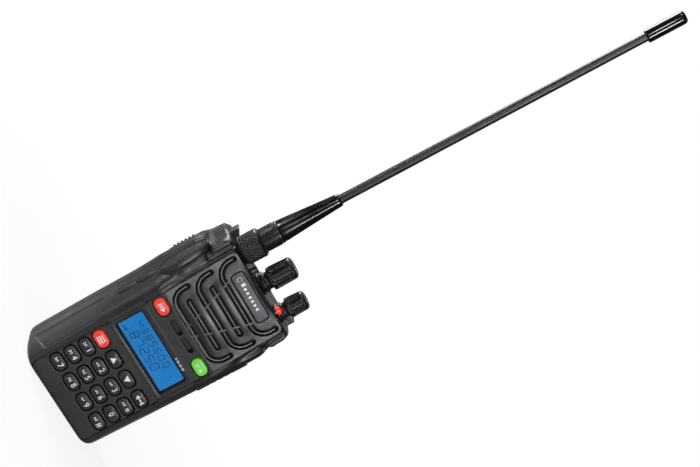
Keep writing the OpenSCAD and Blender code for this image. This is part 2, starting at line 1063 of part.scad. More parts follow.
module antenna_cap() {
  color([0.03, 0.03, 0.03])
    translate([-ant_x, -top_y, tip_z - cap_h])
      difference() {
        union() {
          cylinder(d = cap_d, h = cap_h - margin);
          translate([0, 0, cap_h - margin - eps])
            cylinder(d1 = cap_d, d2 = cap_tip_d, h = margin + eps);
        }
        translate([0, 0, -margin])
          cylinder(d = whip_d + fit_gap, h = cap_bore + margin);
      }
}

module battery_shell() {
  color([0.1, 0.1, 0.11])
    difference() {
      intersection() {
        leaning_block(0);
        slice(pack_y, back_y, pack_z, pack_h);
      }
      intersection() {
        leaning_block(pack_wall);
        slice(pack_y - margin, back_y, pack_floor, pack_h - pack_wall);
      }
    }
}

module battery_cells() {
  color([0.2, 0.35, 0.5])
    for (s = [-1, 1])
      translate([s * (cell_w + cell_x * 2) / 2 - cell_w / 2, pack_y + cell_plate + cell_gap, cell_z])
        cube([cell_w, pack_d - cell_plate - pack_wall - 2 * cell_gap, pack_h - cell_cut]);
}

module battery_plate() {
  color([0.12, 0.12, 0.12])
    translate([0, pack_y + cell_plate, (pack_h + pack_z) / 2])
      rotate([90, 0, 0])
        linear_extrude(cell_plate - seat_gap)
          square([2 * (half_w - pack_wall) - hole_gap, pack_h - plate_cut], center = true);
}

module battery_latch() {
  color([0.04, 0.04, 0.04]) {
    translate([-latch_w / 2, back_y - latch_in, latch_z0])
      cube([latch_w, latch_in + latch_out - rib_out, latch_z1 - latch_z0]);
    for (s = [-1, 1])
      translate([s * tongue_x - tongue_w / 2, back_y - latch_in, pack_h + pack_gap])
        cube([tongue_w, tongue_t, latch_z0 - pack_h - pack_gap + eps]);
    for (i = [0:rib_n - 1])
      translate([-latch_w / 2, back_y + latch_out - rib_out - eps, latch_z0 + rib_z + i * rib_p])
        cube([latch_w, rib_out, rib_t]);
  }
}

module hinge_pin() {
  color([0.7, 0.7, 0.7])
    translate([hinge_x, hinge_y, cover_z0 - ear_h])
      cylinder(r = hinge_pin_r, h = cover_z1 - cover_z0 + 2 * ear_h);
}

module jack_cover() {
  color([0.06, 0.06, 0.06])
    difference() {
      union() {
        on_right(cover_x - cover_out)
          translate([(cover_y0 + cover_y1) / 2, (cover_z0 + cover_z1) / 2, 0])
            linear_extrude(cover_t)
              round_rect(cover_y1 - cover_y0, cover_z1 - cover_z0, cover_r);
        translate([hinge_x, hinge_y, cover_z0])
          cylinder(r = hinge_r, h = cover_z1 - cover_z0);
      }
      translate([hinge_x, hinge_y, cover_z0 - margin])
        cylinder(r = hinge_pin_r + seat_gap, h = cover_z1 - cover_z0 + 2 * margin);
      for (i = [0:2])
        translate([cover_x + cover_gap, cover_y0 + cover_slot_y + i * cover_slot_p, cover_z0 + cover_slot_z])
          cube(cover_slot);
    }
}

front_case();
case_gasket();
rear_chassis();
side_inset();
ptt_frame();
nameplate();
display_lens();
display_panel();
keypad_mat();
main_board();
loudspeaker();
speaker_cloth();
microphone();
status_light();
antenna_socket();
channel_encoder();
volume_control();
top_screw();
strap_lugs();
talk_switch();
side_switches();
speaker_jack();
microphone_jack();
battery_contacts();
case_screws();
hinge_pin();
red_pad_key();  // key_menu
pad_key(1, 3);  // key_up
pad_key(2, 3);  // key_down
pad_key(3, 3);  // key_exit
pad_key(0, 2);  // key_1
pad_key(1, 2);  // key_2
pad_key(2, 2);  // key_3
pad_key(3, 2);  // key_star
pad_key(0, 1);  // key_4
pad_key(1, 1);  // key_5
pad_key(2, 1);  // key_6
pad_key(3, 1);  // key_0
pad_key(0, 0);  // key_7
pad_key(1, 0);  // key_8
pad_key(2, 0);  // key_9
pad_key(3, 0);  // key_hash
key_red();
key_green();
talk_button();
side_button(btn_z[1]);  // side_button_upper
side_button(btn_z[0]);  // side_button_lower
channel_knob();
channel_shaft();
volume_knob();
volume_shaft();
antenna_collar();
antenna_sleeve();
antenna_whip();
antenna_cap();
battery_shell();
battery_cells();
battery_plate();
battery_latch();
jack_cover();
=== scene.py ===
import math
import bpy
import bmesh
from mathutils import Matrix, Vector, noise


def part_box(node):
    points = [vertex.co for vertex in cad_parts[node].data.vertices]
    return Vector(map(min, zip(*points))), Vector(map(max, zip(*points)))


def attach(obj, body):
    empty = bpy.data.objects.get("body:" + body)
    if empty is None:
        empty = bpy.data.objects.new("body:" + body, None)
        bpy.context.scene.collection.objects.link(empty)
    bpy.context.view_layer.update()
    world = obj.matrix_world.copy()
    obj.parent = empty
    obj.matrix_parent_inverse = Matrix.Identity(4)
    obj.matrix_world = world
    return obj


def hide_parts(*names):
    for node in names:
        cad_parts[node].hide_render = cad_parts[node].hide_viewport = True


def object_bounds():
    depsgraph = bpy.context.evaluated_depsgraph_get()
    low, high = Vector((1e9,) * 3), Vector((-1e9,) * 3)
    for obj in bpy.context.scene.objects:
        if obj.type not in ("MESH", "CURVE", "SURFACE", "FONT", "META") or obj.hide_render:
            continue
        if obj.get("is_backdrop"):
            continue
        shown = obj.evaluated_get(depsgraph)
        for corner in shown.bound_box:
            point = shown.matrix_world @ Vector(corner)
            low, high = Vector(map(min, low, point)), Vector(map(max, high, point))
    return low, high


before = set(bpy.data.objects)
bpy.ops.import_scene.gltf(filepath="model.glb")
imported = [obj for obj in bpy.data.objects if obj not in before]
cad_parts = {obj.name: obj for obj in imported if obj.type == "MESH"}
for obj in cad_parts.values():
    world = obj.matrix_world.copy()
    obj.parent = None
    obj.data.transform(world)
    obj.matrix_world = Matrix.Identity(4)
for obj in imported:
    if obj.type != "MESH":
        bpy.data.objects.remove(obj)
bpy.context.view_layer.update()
MM = 0.001
LEAN = math.radians(8.7)
TL, CL, SL = math.tan(LEAN), math.cos(LEAN), math.sin(LEAN)


# ---------------------------------------------------------------- places taken from the CAD

def box_mm(node):
    lo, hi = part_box(node)
    return Vector(lo) / MM, Vector(hi) / MM


def centre(lo, hi, axes="xy"):
    """Middle of a box along the named axes."""
    return tuple((getattr(lo, a) + getattr(hi, a)) / 2 for a in axes)


CASE_LO, CASE_HI = box_mm("front_case")
PACK_LO, PACK_HI = box_mm("battery_shell")
FRONT = CASE_LO.y
SPLIT = CASE_HI.y
TOP = CASE_HI.z
BACK_HI = PACK_HI.y
# height of the fold in the front panel, half the panel's width, and the rows of slots above the fold
BEND = 68.2
HALF_PANEL = 21.9
SLOT_PITCH = 5.8
SLOT_RUNS = [1.5 + SLOT_PITCH * i for i in range(5)]


# ---------------------------------------------------------------- mesh helpers

def smooth(obj, degrees=32):
    me = obj.data
    bm = bmesh.new()
    bm.from_mesh(me)
    bmesh.ops.remove_doubles(bm, verts=bm.verts, dist=1e-7)
    bmesh.ops.recalc_face_normals(bm, faces=bm.faces)
    limit = math.radians(degrees)
    for f in bm.faces:
        f.smooth = True
    for e in bm.edges:
        e.smooth = len(e.link_faces) == 2 and e.calc_face_angle(0) < limit
    bm.to_mesh(me)
    bm.free()


def weighted(obj):
    m = obj.modifiers.new("weighted", "WEIGHTED_NORMAL")
    m.keep_sharp = True
    m.weight = 80


def add_object(name, data):
    obj = bpy.data.objects.new(name, data)
    bpy.context.collection.objects.link(obj)
    return obj


def mesh_mm(name, verts, faces):
    """A mesh from vertices in millimetres."""
    me = bpy.data.meshes.new(name)
    me.from_pydata([tuple(c * MM for c in v) for v in verts], [], faces)
    return me


def evaluated_mesh(obj):
    """A new mesh of the object with its modifiers or its curve worked out."""
    dg = bpy.context.evaluated_depsgraph_get()
    return bpy.data.meshes.new_from_object(obj.evaluated_get(dg), depsgraph=dg)


def make(name, verts, faces, mat, body="case", replaces=(), slot=None, degrees=32, wn=True):
    me = mesh_mm(name, verts, faces)
    me.update()
    obj = add_object(name, me)
    me.materials.append(mat)
    smooth(obj, degrees)
    if wn:
        weighted(obj)
    finish_piece(obj, body, replaces)
    return obj


def finish_piece(obj, body, replaces=()):
    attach(obj, body)
    if replaces:
        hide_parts(*replaces)


def solid_slot(obj, mat, body, replaces, degrees=32):
    obj.data.materials.clear()
    obj.data.materials.append(mat)
    smooth(obj, degrees)
    weighted(obj)
    finish_piece(obj, body, replaces)


def round_rect(w, h, r, n=8):
    r = min(r, w / 2 - 1e-3, h / 2 - 1e-3)
    pts = []
    for cx, cy, a0 in ((w / 2 - r, h / 2 - r, 0), (-w / 2 + r, h / 2 - r, 90),
                       (-w / 2 + r, -h / 2 + r, 180), (w / 2 - r, -h / 2 + r, 270)):
        for i in range(n + 1):
            a = math.radians(a0 + 90 * i / n)
            pts.append((cx + r * math.cos(a), cy + r * math.sin(a)))
    return pts


def oval(w, h, n=72, power=2.35):
    pts = []
    for i in range(n):
        a = 2 * math.pi * i / n
        c, s = math.cos(a), math.sin(a)
        k = (abs(c) ** power + abs(s) ** power) ** (-1 / power)
        pts.append((w / 2 * k * c, h / 2 * k * s))
    return pts


def circle(r, n):
    return [(r * math.cos(a * math.pi / (n / 2)), r * math.sin(a * math.pi / (n / 2))) for a in range(n)]


def loft(rings, capped=True):
    """Vertices and faces of a body through rings of points in space."""
    n = len(rings[0])
    faces = [(k * n + i, k * n + (i + 1) % n, (k + 1) * n + (i + 1) % n, (k + 1) * n + i)
             for k in range(len(rings) - 1) for i in range(n)]
    if capped:
        faces += [tuple(range(n))[::-1], tuple((len(rings) - 1) * n + i for i in range(n))]
    return [p for ring in rings for p in ring], faces


def stack(levels, capped=True):
    """Lofts flat outlines, given as (points, height)."""
    return loft([[(x, y, z) for x, y in pts] for pts, z in levels], capped)


def join(*parts):
    verts, faces = [], []
    for v, f in parts:
        k = len(verts)
        verts += v
        faces += [tuple(i + k for i in q) for q in f]
    return verts, faces


def move(part, f):
    return [f(*v) for v in part[0]], part[1]


def lathe(profile, cx, cy, n=64, radius=None):
    """Turns (r, z) pairs about an upright axis. radius(r, angle, z) may shape it."""
    levels = []
    for r, z in profile:
        ring = []
        for i in range(n):
            a = 2 * math.pi * i / n
            q = radius(r, a, z) if radius else r
            ring.append((cx + q * math.cos(a), cy + q * math.sin(a)))
        levels.append((ring, z))
    return stack(levels)


def tube(path, radius, n=10):
    """A round bar along a list of points."""
    rings = []
    pts = [Vector(p) for p in path]
    up = None
    for i, p in enumerate(pts):
        a = pts[max(i - 1, 0)]
        b = pts[min(i + 1, len(pts) - 1)]
        t = (b - a).normalized()
        if up is None:
            up = t.orthogonal().normalized()
        up = (up - t * up.dot(t)).normalized()
        side = t.cross(up)
        ring = []
        for k in range(n):
            g = 2 * math.pi * k / n
            ring.append(tuple(p + (up * math.cos(g) + side * math.sin(g)) * radius))
        rings.append(ring)
    return loft(rings)


def ease(x):
    x = min(max(x, 0.0), 1.0)
    return x * x * (3 - 2 * x)


def ramp(x, a, b):
    return ease((x - a) / (b - a))


def lerp_table(z, table):
    for (z0, v0), (z1, v1) in zip(table, table[1:]):
        if z <= z1:
            t = 0 if z <= z0 else (z - z0) / (z1 - z0)
            return v0 + (v1 - v0) * t
    return table[-1][1]


# Places for a shape's own (a, b, n): a and b lie in its outline and n runs along its length.

def upright(a, b, n):
    return a, b, n


def along_y(a, b, n):
    return a, n, b


def along_x(a, b, n):
    return n, a, b


def on_front(x, u, n):
    return (x, FRONT - n, u)


def crown(x, s):
    """The upper front's slight crown."""
    k = ramp(s, 1, 9) * (1 - ramp(s, 33, 38))
    wave = 0.26 * (1 - math.cos(2 * math.pi * (s - SLOT_RUNS[0]) / SLOT_PITCH)) / 2
    wave *= 1 - ramp(abs(x), 10.5, 15.5)
    if s < SLOT_RUNS[0] or s > SLOT_RUNS[-1]:
        wave = 0
    return 1.25 * k * max(math.cos(min(abs(x) / HALF_PANEL, 1) * math.pi / 2), 0) ** 1.6 + wave


def on_panel(x, u, n):
    """The front panel, measured along its surface: flat, then bent back at BEND."""
    s = u - BEND
    r = 5.0
    h = r * math.tan(LEAN / 2)
    if s <= -h:
        return (x, FRONT - n, u)
    if s >= h:
        n += crown(x, s)
        return (x, FRONT + s * SL - n * CL, BEND + s * CL + n * SL)
    a = (s + h) / (2 * h) * LEAN
    y = FRONT + r * (1 - math.cos(a))
    z = BEND - h + r * math.sin(a)
    return (x, y - n * math.cos(a), z + n * math.sin(a))


# ---------------------------------------------------------------- materials

# how far a surface's roughness wanders to either side
ROUGH_SPREAD = 0.08


def new_tree(name):
    """A material with its node tree and its Principled node."""
    m = bpy.data.materials.new(name)
    m.use_nodes = True
    return m, m.node_tree, m.node_tree.nodes["Principled BSDF"]


def add_node(tree, kind, values=None, **settings):
    """A shader node with its settings and the defaults of its inputs."""
    node = tree.nodes.new("ShaderNode" + kind)
    for key, value in settings.items():
        setattr(node, key, value)
    for key, value in (values or {}).items():
        node.inputs[key].default_value = value
    return node


def wire(tree, source, output, target, socket):
    tree.links.new(source.outputs[output], target.inputs[socket])


def material(name, colour, rough, grain=0.0, grain_size=0.25, spread=0.12, bump=0.15, metallic=0.0,
             coat=0.0, wear=0.25, wear_colour=None, emission=None, emission_strength=0.0):
    """Moulded, painted or metal surface: uneven colour and gloss, a fine grain and light wear."""
    m, nt, p = new_tree(name)
    p.inputs["Metallic"].default_value = metallic
    p.inputs["Coat Weight"].default_value = coat
    p.inputs["Coat Roughness"].default_value = 0.1
    co = add_node(nt, "TexCoord")
    big = add_node(nt, "TexNoise", {"Scale": 90, "Detail": 5})
    fine = add_node(nt, "TexNoise", {"Scale": 1 / (grain_size * MM), "Detail": 3, "Roughness": 0.6})
    scuff = add_node(nt, "TexNoise", {"Scale": 420, "Detail": 8, "Distortion": 1.5})
    for texture in (big, fine, scuff):
        wire(nt, co, "Object", texture, "Vector")
    tint = add_node(nt, "ValToRGB")
    lo = [max(c * (1 - spread), 0) for c in colour]
    hi = [min(c * (1 + spread) + 0.004 * wear, 1) for c in colour]
    for element, position, shade in zip(tint.color_ramp.elements, (0.3, 0.72), (lo, hi)):
        element.position = position
        element.color = (*shade, 1)
    wire(nt, big, "Fac", tint, "Fac")
    mask = add_node(nt, "MapRange", {"From Min": 0.62, "From Max": 0.74, "To Min": 0.0, "To Max": wear})
    wire(nt, scuff, "Fac", mask, "Value")
    mix = add_node(nt, "Mix", data_type="RGBA")
    worn = wear_colour or [min(c * 1.5 + 0.015, 1) for c in colour]
    mix.inputs[7].default_value = (*worn, 1)
    wire(nt, mask, "Result", mix, 0)
    wire(nt, tint, "Color", mix, 6)
    wire(nt, mix, 2, p, "Base Color")
    gloss = add_node(nt, "MapRange", {"From Min": 0.3, "From Max": 0.7,
                                      "To Min": max(rough - ROUGH_SPREAD, 0.02),
                                      "To Max": min(rough + ROUGH_SPREAD, 1)})
    wire(nt, big, "Fac", gloss, "Value")
    wire(nt, gloss, "Result", p, "Roughness")
    swell = add_node(nt, "Bump", {"Strength": bump, "Distance": 0.00025})
    wire(nt, big, "Fac", swell, "Height")
    pores = add_node(nt, "Bump", {"Strength": grain if grain > 0.15 else 0.004, "Distance": 0.00004})
    wire(nt, fine, "Fac", pores, "Height")
    wire(nt, swell, "Normal", pores, "Normal")
    wire(nt, pores, "Normal", p, "Normal")
    if emission:
        p.inputs["Emission Color"].default_value = (*emission, 1)
        p.inputs["Emission Strength"].default_value = emission_strength
    return m


M = {
    "case": material("case_plastic", (0.010, 0.010, 0.011), 0.4, grain=0.5, grain_size=0.35, bump=0.04),
    "panel": material("panel_plastic", (0.012, 0.012, 0.0135), 0.46, grain=1.0, grain_size=0.35, bump=0.05),
    "upper": material("grille_plastic", (0.006, 0.006, 0.0065), 0.36, grain=0.4, grain_size=0.35, bump=0.04),
    "bezel": material("bezel_plastic", (0.013, 0.013, 0.0145), 0.45, grain=0.6, grain_size=0.35, bump=0.04),
    "gloss": material("gloss_black", (0.006, 0.006, 0.007), 0.24, grain=0.05, bump=0.05, wear=0.1),
    "knob": material("knob_plastic", (0.006, 0.006, 0.007), 0.36, grain=0.1, grain_size=0.4, bump=0.04),
    # grey for the grille's ribs and ties: a painted highlight; their gloss catches the lamps as well
    "wire": material("wire_satin", (0.11, 0.11, 0.113), 0.32, grain=0.1, bump=0.03, metallic=0.2, wear=0.1),
    "rubber": material("black_rubber", (0.012, 0.012, 0.0125), 0.5, grain=0.8, grain_size=0.3, bump=0.1),
    "key": material("key_rubber", (0.012, 0.012, 0.013), 0.38, grain=0.25, grain_size=0.25, bump=0.05),
    # the red and green keys carry a painted glow: their emission brightens them, though no lamp lights them
    "red": material("red_key", (0.62, 0.035, 0.022), 0.4, grain=0.2, bump=0.05, wear=0.15,
                    emission=(0.9, 0.05, 0.02), emission_strength=0.25),
    "green": material("green_key", (0.12, 0.55, 0.05), 0.4, grain=0.2, bump=0.05, wear=0.15,
                      emission=(0.2, 0.9, 0.05), emission_strength=0.18),
    "white": material("legend_white", (0.8, 0.8, 0.8), 0.5, grain=0.2, wear=0.2,
                      wear_colour=(0.5, 0.5, 0.5)),
    "print": material("print_grey", (0.42, 0.42, 0.43), 0.5, grain=0.2, wear=0.3,
                      wear_colour=(0.2, 0.2, 0.2)),
    "dark": material("hollow_black", (0.004, 0.004, 0.004), 0.8, grain=0.5, bump=0.2),
    "cloth": material("speaker_cloth", (0.006, 0.006, 0.007), 0.9, grain=1.0, grain_size=0.4, bump=0.4),
    "plate": material("plate_grey", (0.055, 0.056, 0.06), 0.42, grain=0.7, grain_size=0.22, metallic=0.3),
    "lcd": material("display_blue", (0.004, 0.12, 0.36), 0.3, grain=0.05, spread=0.06, wear=0.02,
                    emission=(0.003, 0.17, 0.47), emission_strength=0.8),
    "digit": material("display_digit", (0.002, 0.03, 0.1), 0.4, grain=0.05, wear=0.02,
                      emission=(0.0, 0.035, 0.12), emission_strength=0.8),
    "lug": material("lug_satin", (0.07, 0.075, 0.073), 0.35, grain=0.3, bump=0.04, metallic=0.2),
    "light": material("status_lamp", (0.7, 0.02, 0.015), 0.15, grain=0.05, coat=0.6, wear=0.05,
                      emission=(1.0, 0.03, 0.02), emission_strength=0.9),
    "whip": material("whip_jacket", (0.014, 0.014, 0.0145), 0.36, grain=0.6, grain_size=0.3, bump=0.25),
    "sleeve": material("sleeve_gloss", (0.004, 0.004, 0.0045), 0.17, grain=0.03, bump=0.03, coat=0.2,
                       wear=0.08),
    "metal": material("bright_metal", (0.62, 0.62, 0.63), 0.28, grain=0.4, grain_size=0.15, metallic=1.0),
    "brass": material("plated_brass", (0.72, 0.53, 0.25), 0.3, grain=0.3, grain_size=0.15, metallic=1.0),
    "board": material("board_green", (0.02, 0.12, 0.045), 0.4, grain=0.4, bump=0.2),
    "mat": material("key_mat", (0.2, 0.2, 0.21), 0.6, grain=0.5),
    "cell": material("cell_wrap", (0.03, 0.08, 0.2), 0.35, grain=0.2),
    "chassis": material("chassis_black", (0.016, 0.016, 0.017), 0.48, grain=0.9, grain_size=0.35, bump=0.15),
    "pack": material("pack_plastic", (0.02, 0.02, 0.022), 0.55, grain=0.9, grain_size=0.35, bump=0.1),
}


def glass_material():
    m, nt, p = new_tree("window_clear")
    p.inputs["Base Color"].default_value = (0.01, 0.015, 0.02, 1)
    p.inputs["Alpha"].default_value = 0.1
    co = add_node(nt, "TexCoord")
    smear = add_node(nt, "TexNoise", {"Scale": 260, "Detail": 6})
    gloss = add_node(nt, "MapRange", {"To Min": 0.05, "To Max": 0.16})
    wire(nt, co, "Object", smear, "Vector")
    wire(nt, smear, "Fac", gloss, "Value")
    wire(nt, gloss, "Result", p, "Roughness")
    return m


M["glass"] = glass_material()


# ---------------------------------------------------------------- the case's outer form

# half the case's width by height, where its side runs straight, and the back corner's radius
WIDTHS = [(0, 27.6), (8, 28.0), (35, 28.7), (56, 29.0), (64, 29.4), (70, 29.9), (88, 29.9), (93, 28.6),
          (97, 27.9), (104, 27.6)]
SIDE_Y = 1.5
BACK_R = 6.0
# radii that round the base sideways, the base front and back, and the top
BASE_R, BASE_FRONT_R, TOP_R = 4.5, 2.4, 1.6
# points round the front corner, along the side and round the back corner
CORNER_N = 64
SIDE_N = 24
BACK_N = 12


def half_width(z):
    return lerp_table(z, WIDTHS)


def front_at(z):
    return FRONT + max(z - BEND, 0) * TL


def sag(radius, d):
    """How far an arc of this radius has fallen away at distance d from its crest."""
    return radius - math.sqrt(max(radius ** 2 - d ** 2, 0))


def outline(z, side):
    """Half of the plan outline at height z, from the panel edge round to the middle of the back."""
    g = 0.0
    gy = 0.0
    if z < BASE_R:
        g = sag(BASE_R, BASE_R - z)
    if z < BASE_FRONT_R:
        gy = sag(BASE_FRONT_R, BASE_FRONT_R - z)
    if z > TOP - TOP_R:
        q = sag(TOP_R, z - TOP + TOP_R)
        g += q
        gy += q
    w = half_width(z) - g * 0.8
    yf = front_at(z) + gy
    yb = BACK_HI - gy
    x0 = HALF_PANEL + 0.15 - (g if z < BASE_R else 0)
    drop = 0.35 + 0.75 * ramp(z, 66, 72)
    pts = [(x0 - 0.15, yf + 2.9, 0), (x0 - 0.15, yf + drop + 0.35, 0), (x0, yf + drop, 0)]
    ys = SIDE_Y
    for i in range(1, CORNER_N + 1):
        t = math.pi / 2 * i / CORNER_N
        px = x0 + (w - x0) * math.sin(t) ** 0.86
        py = ys - (ys - yf - drop) * max(math.cos(t), 0) ** 0.86
        pts.append((px, flank(px, py, z, math.degrees(t)), 1))
    for i in range(1, SIDE_N + 1):
        pts.append((w, ys + (yb - BACK_R - ys) * i / SIDE_N, 1))
    for i in range(1, BACK_N + 1):
        t = math.pi / 2 * i / BACK_N
        pts.append((w - BACK_R + BACK_R * math.cos(t), yb - BACK_R + BACK_R * math.sin(t), 0))
    out = []
    for i, (x, y, active) in enumerate(pts):
        if active:
            a = pts[i - 1]
            b = pts[min(i + 1, len(pts) - 1)]
            tx, ty = b[0] - a[0], b[1] - a[1]
            k = math.hypot(tx, ty)
            d = relief(side, x, y, z, i - 2)
            x += ty / k * d
            y += -tx / k * d
        out.append((side * x, y))
    return out


PTT_LO, PTT_HI = box_mm("talk_button")
PTT_C = (PTT_LO + PTT_HI) / 2


def ptt_local(y, z):
    """Position on the talk button's own leaning axes: across and along."""
    dy, dz = y - PTT_C.y, z - PTT_C.z
    return dy * CL - dz * SL, dy * SL + dz * CL


def inset_ends(t):
    """Lower and upper end of the side inset at an angle round the front corner."""
    return 9 - (t - 30) * 0.08, 37 + (t - 30) * 0.11


def relief(side, x, y, z, k):
    """Moulded relief of the sides, in millimetres outwards. k counts round the front corner."""
    d = 0.0
    t = min(k / CORNER_N, 1.0) * 90
    if side < 0:
        # long inset along the lower side
        low, top = inset_ends(t)
        a = ramp(t, 16, 26) * (1 - ramp(y, -3.4, -1.8))
        b = ramp(z, low, low + 1.3) * (1 - ramp(z, top - 1.3, top))
        d -= 0.5 * a * b
        # raised ledge round the talk button
        u, v = ptt_local(y, z)
        q = math.hypot(u / 6.2, v / 13.4)
        d += 0.3 * (1 - ramp(q, 0.88, 1.02))
    elif z < 46:
        # small parting notches on the lower right edge
        for zn in (5.5, 42.0):
            d -= 0.35 * math.exp(-((z - zn) / 0.55) ** 2) * ramp(t, 40, 60)
    # above the flank: a deeper corner with one round shoulder left standing
    high = ramp(z, 90.8, 91.6)
    deep = 1.7 * ramp(t, 2, 9) * (1 - ramp(t, 24, 38))
    groove = 1.3 * (1 - ramp(z, 93.0, 94.8)) * ramp(t, 24, 38) * (1 - ramp(t, 58, 74))
    bump = 0.0
    if z > 93.5:
        c = min(abs(t - 47) / 19, 1)
        bump = 0.65 * (1 - c * c) ** 1.3 * ramp(z, 93.5, 96.0) * (1 - ramp(z, 100.4, 103.7))
    d -= (deep + groove - bump) * high
    # the rear corners swell out above the latch
    d += 1.35 * ramp(y, -1, 5) * ramp(z, 92, 95) * (1 - ramp(z, 102.4, 103.9))
    return d


def flank(x, y, z, t):
    """Depth of the flat flank and the hollow below it, between the latch's height and the bend."""
    if z < 70 or z > 91.6 or t > 62:
        return y
    plane = -9.3 + 0.44 * (x - 28.6) + 0.15 * (z - 89)
    cut = max(plane - y, 0) * ramp(z, 70, 79)
    hollow = 1.3 * ramp(z, 73, 88) * (1 - ramp(t, 5, 24)) * ramp(t, 0.5, 5)
    return y + (cut + hollow) * (1 - ramp(z, 90.4, 91.6))


def case_body(name, z0, z1, y0, y1, inset=0.0, step=0.42):
    """A closed piece of the outer form between two heights and two depths."""
    zs = [z0]
    z = z0
    for dz in (0.08, 0.15, 0.25, 0.35, 0.45):
        z += dz
        zs.append(z)
    while z + step < z1 - 1.3:
        z += step
        zs.append(z)
    rest = z1 - z
    for f in (0.35, 0.6, 0.78, 0.9, 0.97, 1.0):
        zs.append(z + rest * f)
    levels = []
    for z in zs:
        ring = outline(z, 1) + outline(z, -1)[::-1]
        if inset:
            ring = [(x * (1 - inset / 29), y * (1 - inset / 16)) for x, y in ring]
        levels.append((ring, z))
    me = mesh_mm(name, *stack(levels))
    bm = bmesh.new()
    bm.from_mesh(me)
    for y, flip in ((y0, -1), (y1, 1)):
        if y is None:
            continue
        g = bmesh.ops.bisect_plane(bm, geom=bm.verts[:] + bm.edges[:] + bm.faces[:],
                                   plane_co=(0, y * MM, 0), plane_no=(0, flip, 0), clear_outer=True)
        cut = [e for e in g["geom_cut"] if isinstance(e, bmesh.types.BMEdge)]
        bmesh.ops.edgeloop_fill(bm, edges=cut)
    bmesh.ops.recalc_face_normals(bm, faces=bm.faces)
    bm.to_mesh(me)
    bm.free()
    return add_object(name, me)


def prism(points, lo, hi, f):
    """An outline drawn out from lo to hi and placed by f."""
    return move(stack([(points, lo), (points, hi)]), f)


def carve(obj, parts):
    """Cuts closed prisms out of a mesh."""
    me = mesh_mm("cutter", *join(*parts))
    bm = bmesh.new()
    bm.from_mesh(me)
    bmesh.ops.recalc_face_normals(bm, faces=bm.faces)
    bm.to_mesh(me)
    bm.free()
    cutter = add_object("cutter", me)
    m = obj.modifiers.new("cut", "BOOLEAN")
    m.operation = "DIFFERENCE"
    m.solver = "EXACT"
    m.object = cutter
    bake(obj)
    bpy.data.objects.remove(cutter)


def bake(obj):
    new = evaluated_mesh(obj)
    obj.modifiers.clear()
    old = obj.data
    obj.data = new
    bpy.data.meshes.remove(old)


def curve_plate(outline_pts, holes, thick, bevel, resolution=3):
    """A flat plate with rounded edges from an outline and its holes, as a mesh in millimetres."""
    cu = bpy.data.curves.new("plate", "CURVE")
    cu.dimensions = "2D"
    cu.fill_mode = "BOTH"
    for pts in [outline_pts] + holes:
        sp = cu.splines.new("POLY")
        sp.points.add(len(pts) - 1)
        for p, q in zip(sp.points, pts):
            p.co = (q[0], q[1], 0, 1)
        sp.use_cyclic_u = True
    cu.extrude = thick / 2 - bevel
    cu.bevel_depth = bevel
    cu.bevel_resolution = resolution
    cu.offset = -bevel
    obj = add_object("plate", cu)
    me = evaluated_mesh(obj)
    bpy.data.objects.remove(obj)
    return me


def bend_plate(me, name, place, cuts_x, cuts_y, mat, replaces):
    """Cuts a flat plate along the given lines, so that it can follow place()."""
    bm = bmesh.new()
    bm.from_mesh(me)
    bmesh.ops.remove_doubles(bm, verts=bm.verts, dist=1e-4)
    for axis, cuts in ((0, cuts_x), (1, cuts_y)):
        for c in cuts:
            co = (c, 0, 0) if axis == 0 else (0, c, 0)
            no = (1, 0, 0) if axis == 0 else (0, 1, 0)
            bmesh.ops.bisect_plane(bm, geom=bm.verts[:] + bm.edges[:] + bm.faces[:],
                                   plane_co=co, plane_no=no)
    for v in bm.verts:
        v.co = Vector(place(*v.co)) * MM
    bm.to_mesh(me)
    bm.free()
    obj = add_object(name, me)
    solid_slot(obj, mat, "case", replaces, 40)
    return obj


# ---------------------------------------------------------------- front panel

LENS_LO, LENS_HI = box_mm("display_panel")
LCD_C = centre(LENS_LO, LENS_HI, "xz")
LCD_W, LCD_H = LENS_HI.x - LENS_LO.x - 1, LENS_HI.z - LENS_LO.z - 1
KEYS = {n: box_mm(n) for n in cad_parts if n.startswith("key_")}


def key_centre(n):
    return centre(*KEYS[n], "xz")


KEY_W = KEYS["key_1"][1].x - KEYS["key_1"][0].x - 1.4
KEY_H = KEYS["key_1"][1].z - KEYS["key_1"][0].z - 1.4
THICK = 1.7
PANEL_TOP = BEND + 36.2


def shifted(pts, cx, cy):
    return [(x + cx, y + cy) for x, y in pts]


def u_slot(run, half, r, rise, w, n=10):
    """Outline of a slot that runs sideways and turns up at both ends."""
    outer, inner = [], []
    for sgn, a0 in ((1, 270), (-1, 180)):
        arc = [math.radians(a0 + 90 * i / n) for i in range(n + 1)]
        cx, cy = sgn * (half - r), run + r
        outer.append([(cx + (r + w / 2) * math.cos(a), cy + (r + w / 2) * math.sin(a)) for a in arc])
        inner.append([(cx + (r - w / 2) * math.cos(a), cy + (r - w / 2) * math.sin(a)) for a in arc])
    half_turn = [math.radians(a) for a in range(0, 181, 20)]
    cap_r, cap_l = [[(x + w / 2 * math.cos(a), run + rise + w / 2 * math.sin(a)) for a in half_turn]
                    for x in (half, -half)]
    return outer[0] + cap_r + inner[0][::-1] + inner[1][::-1] + cap_l + outer[1]


SLOT_W = 2.2
SLOT_HALF, SLOT_R, SLOT_RISE, STRAIGHT = 18.9, 6.2, 8.6, 13.6
MIC_Z = BEND - 3.6

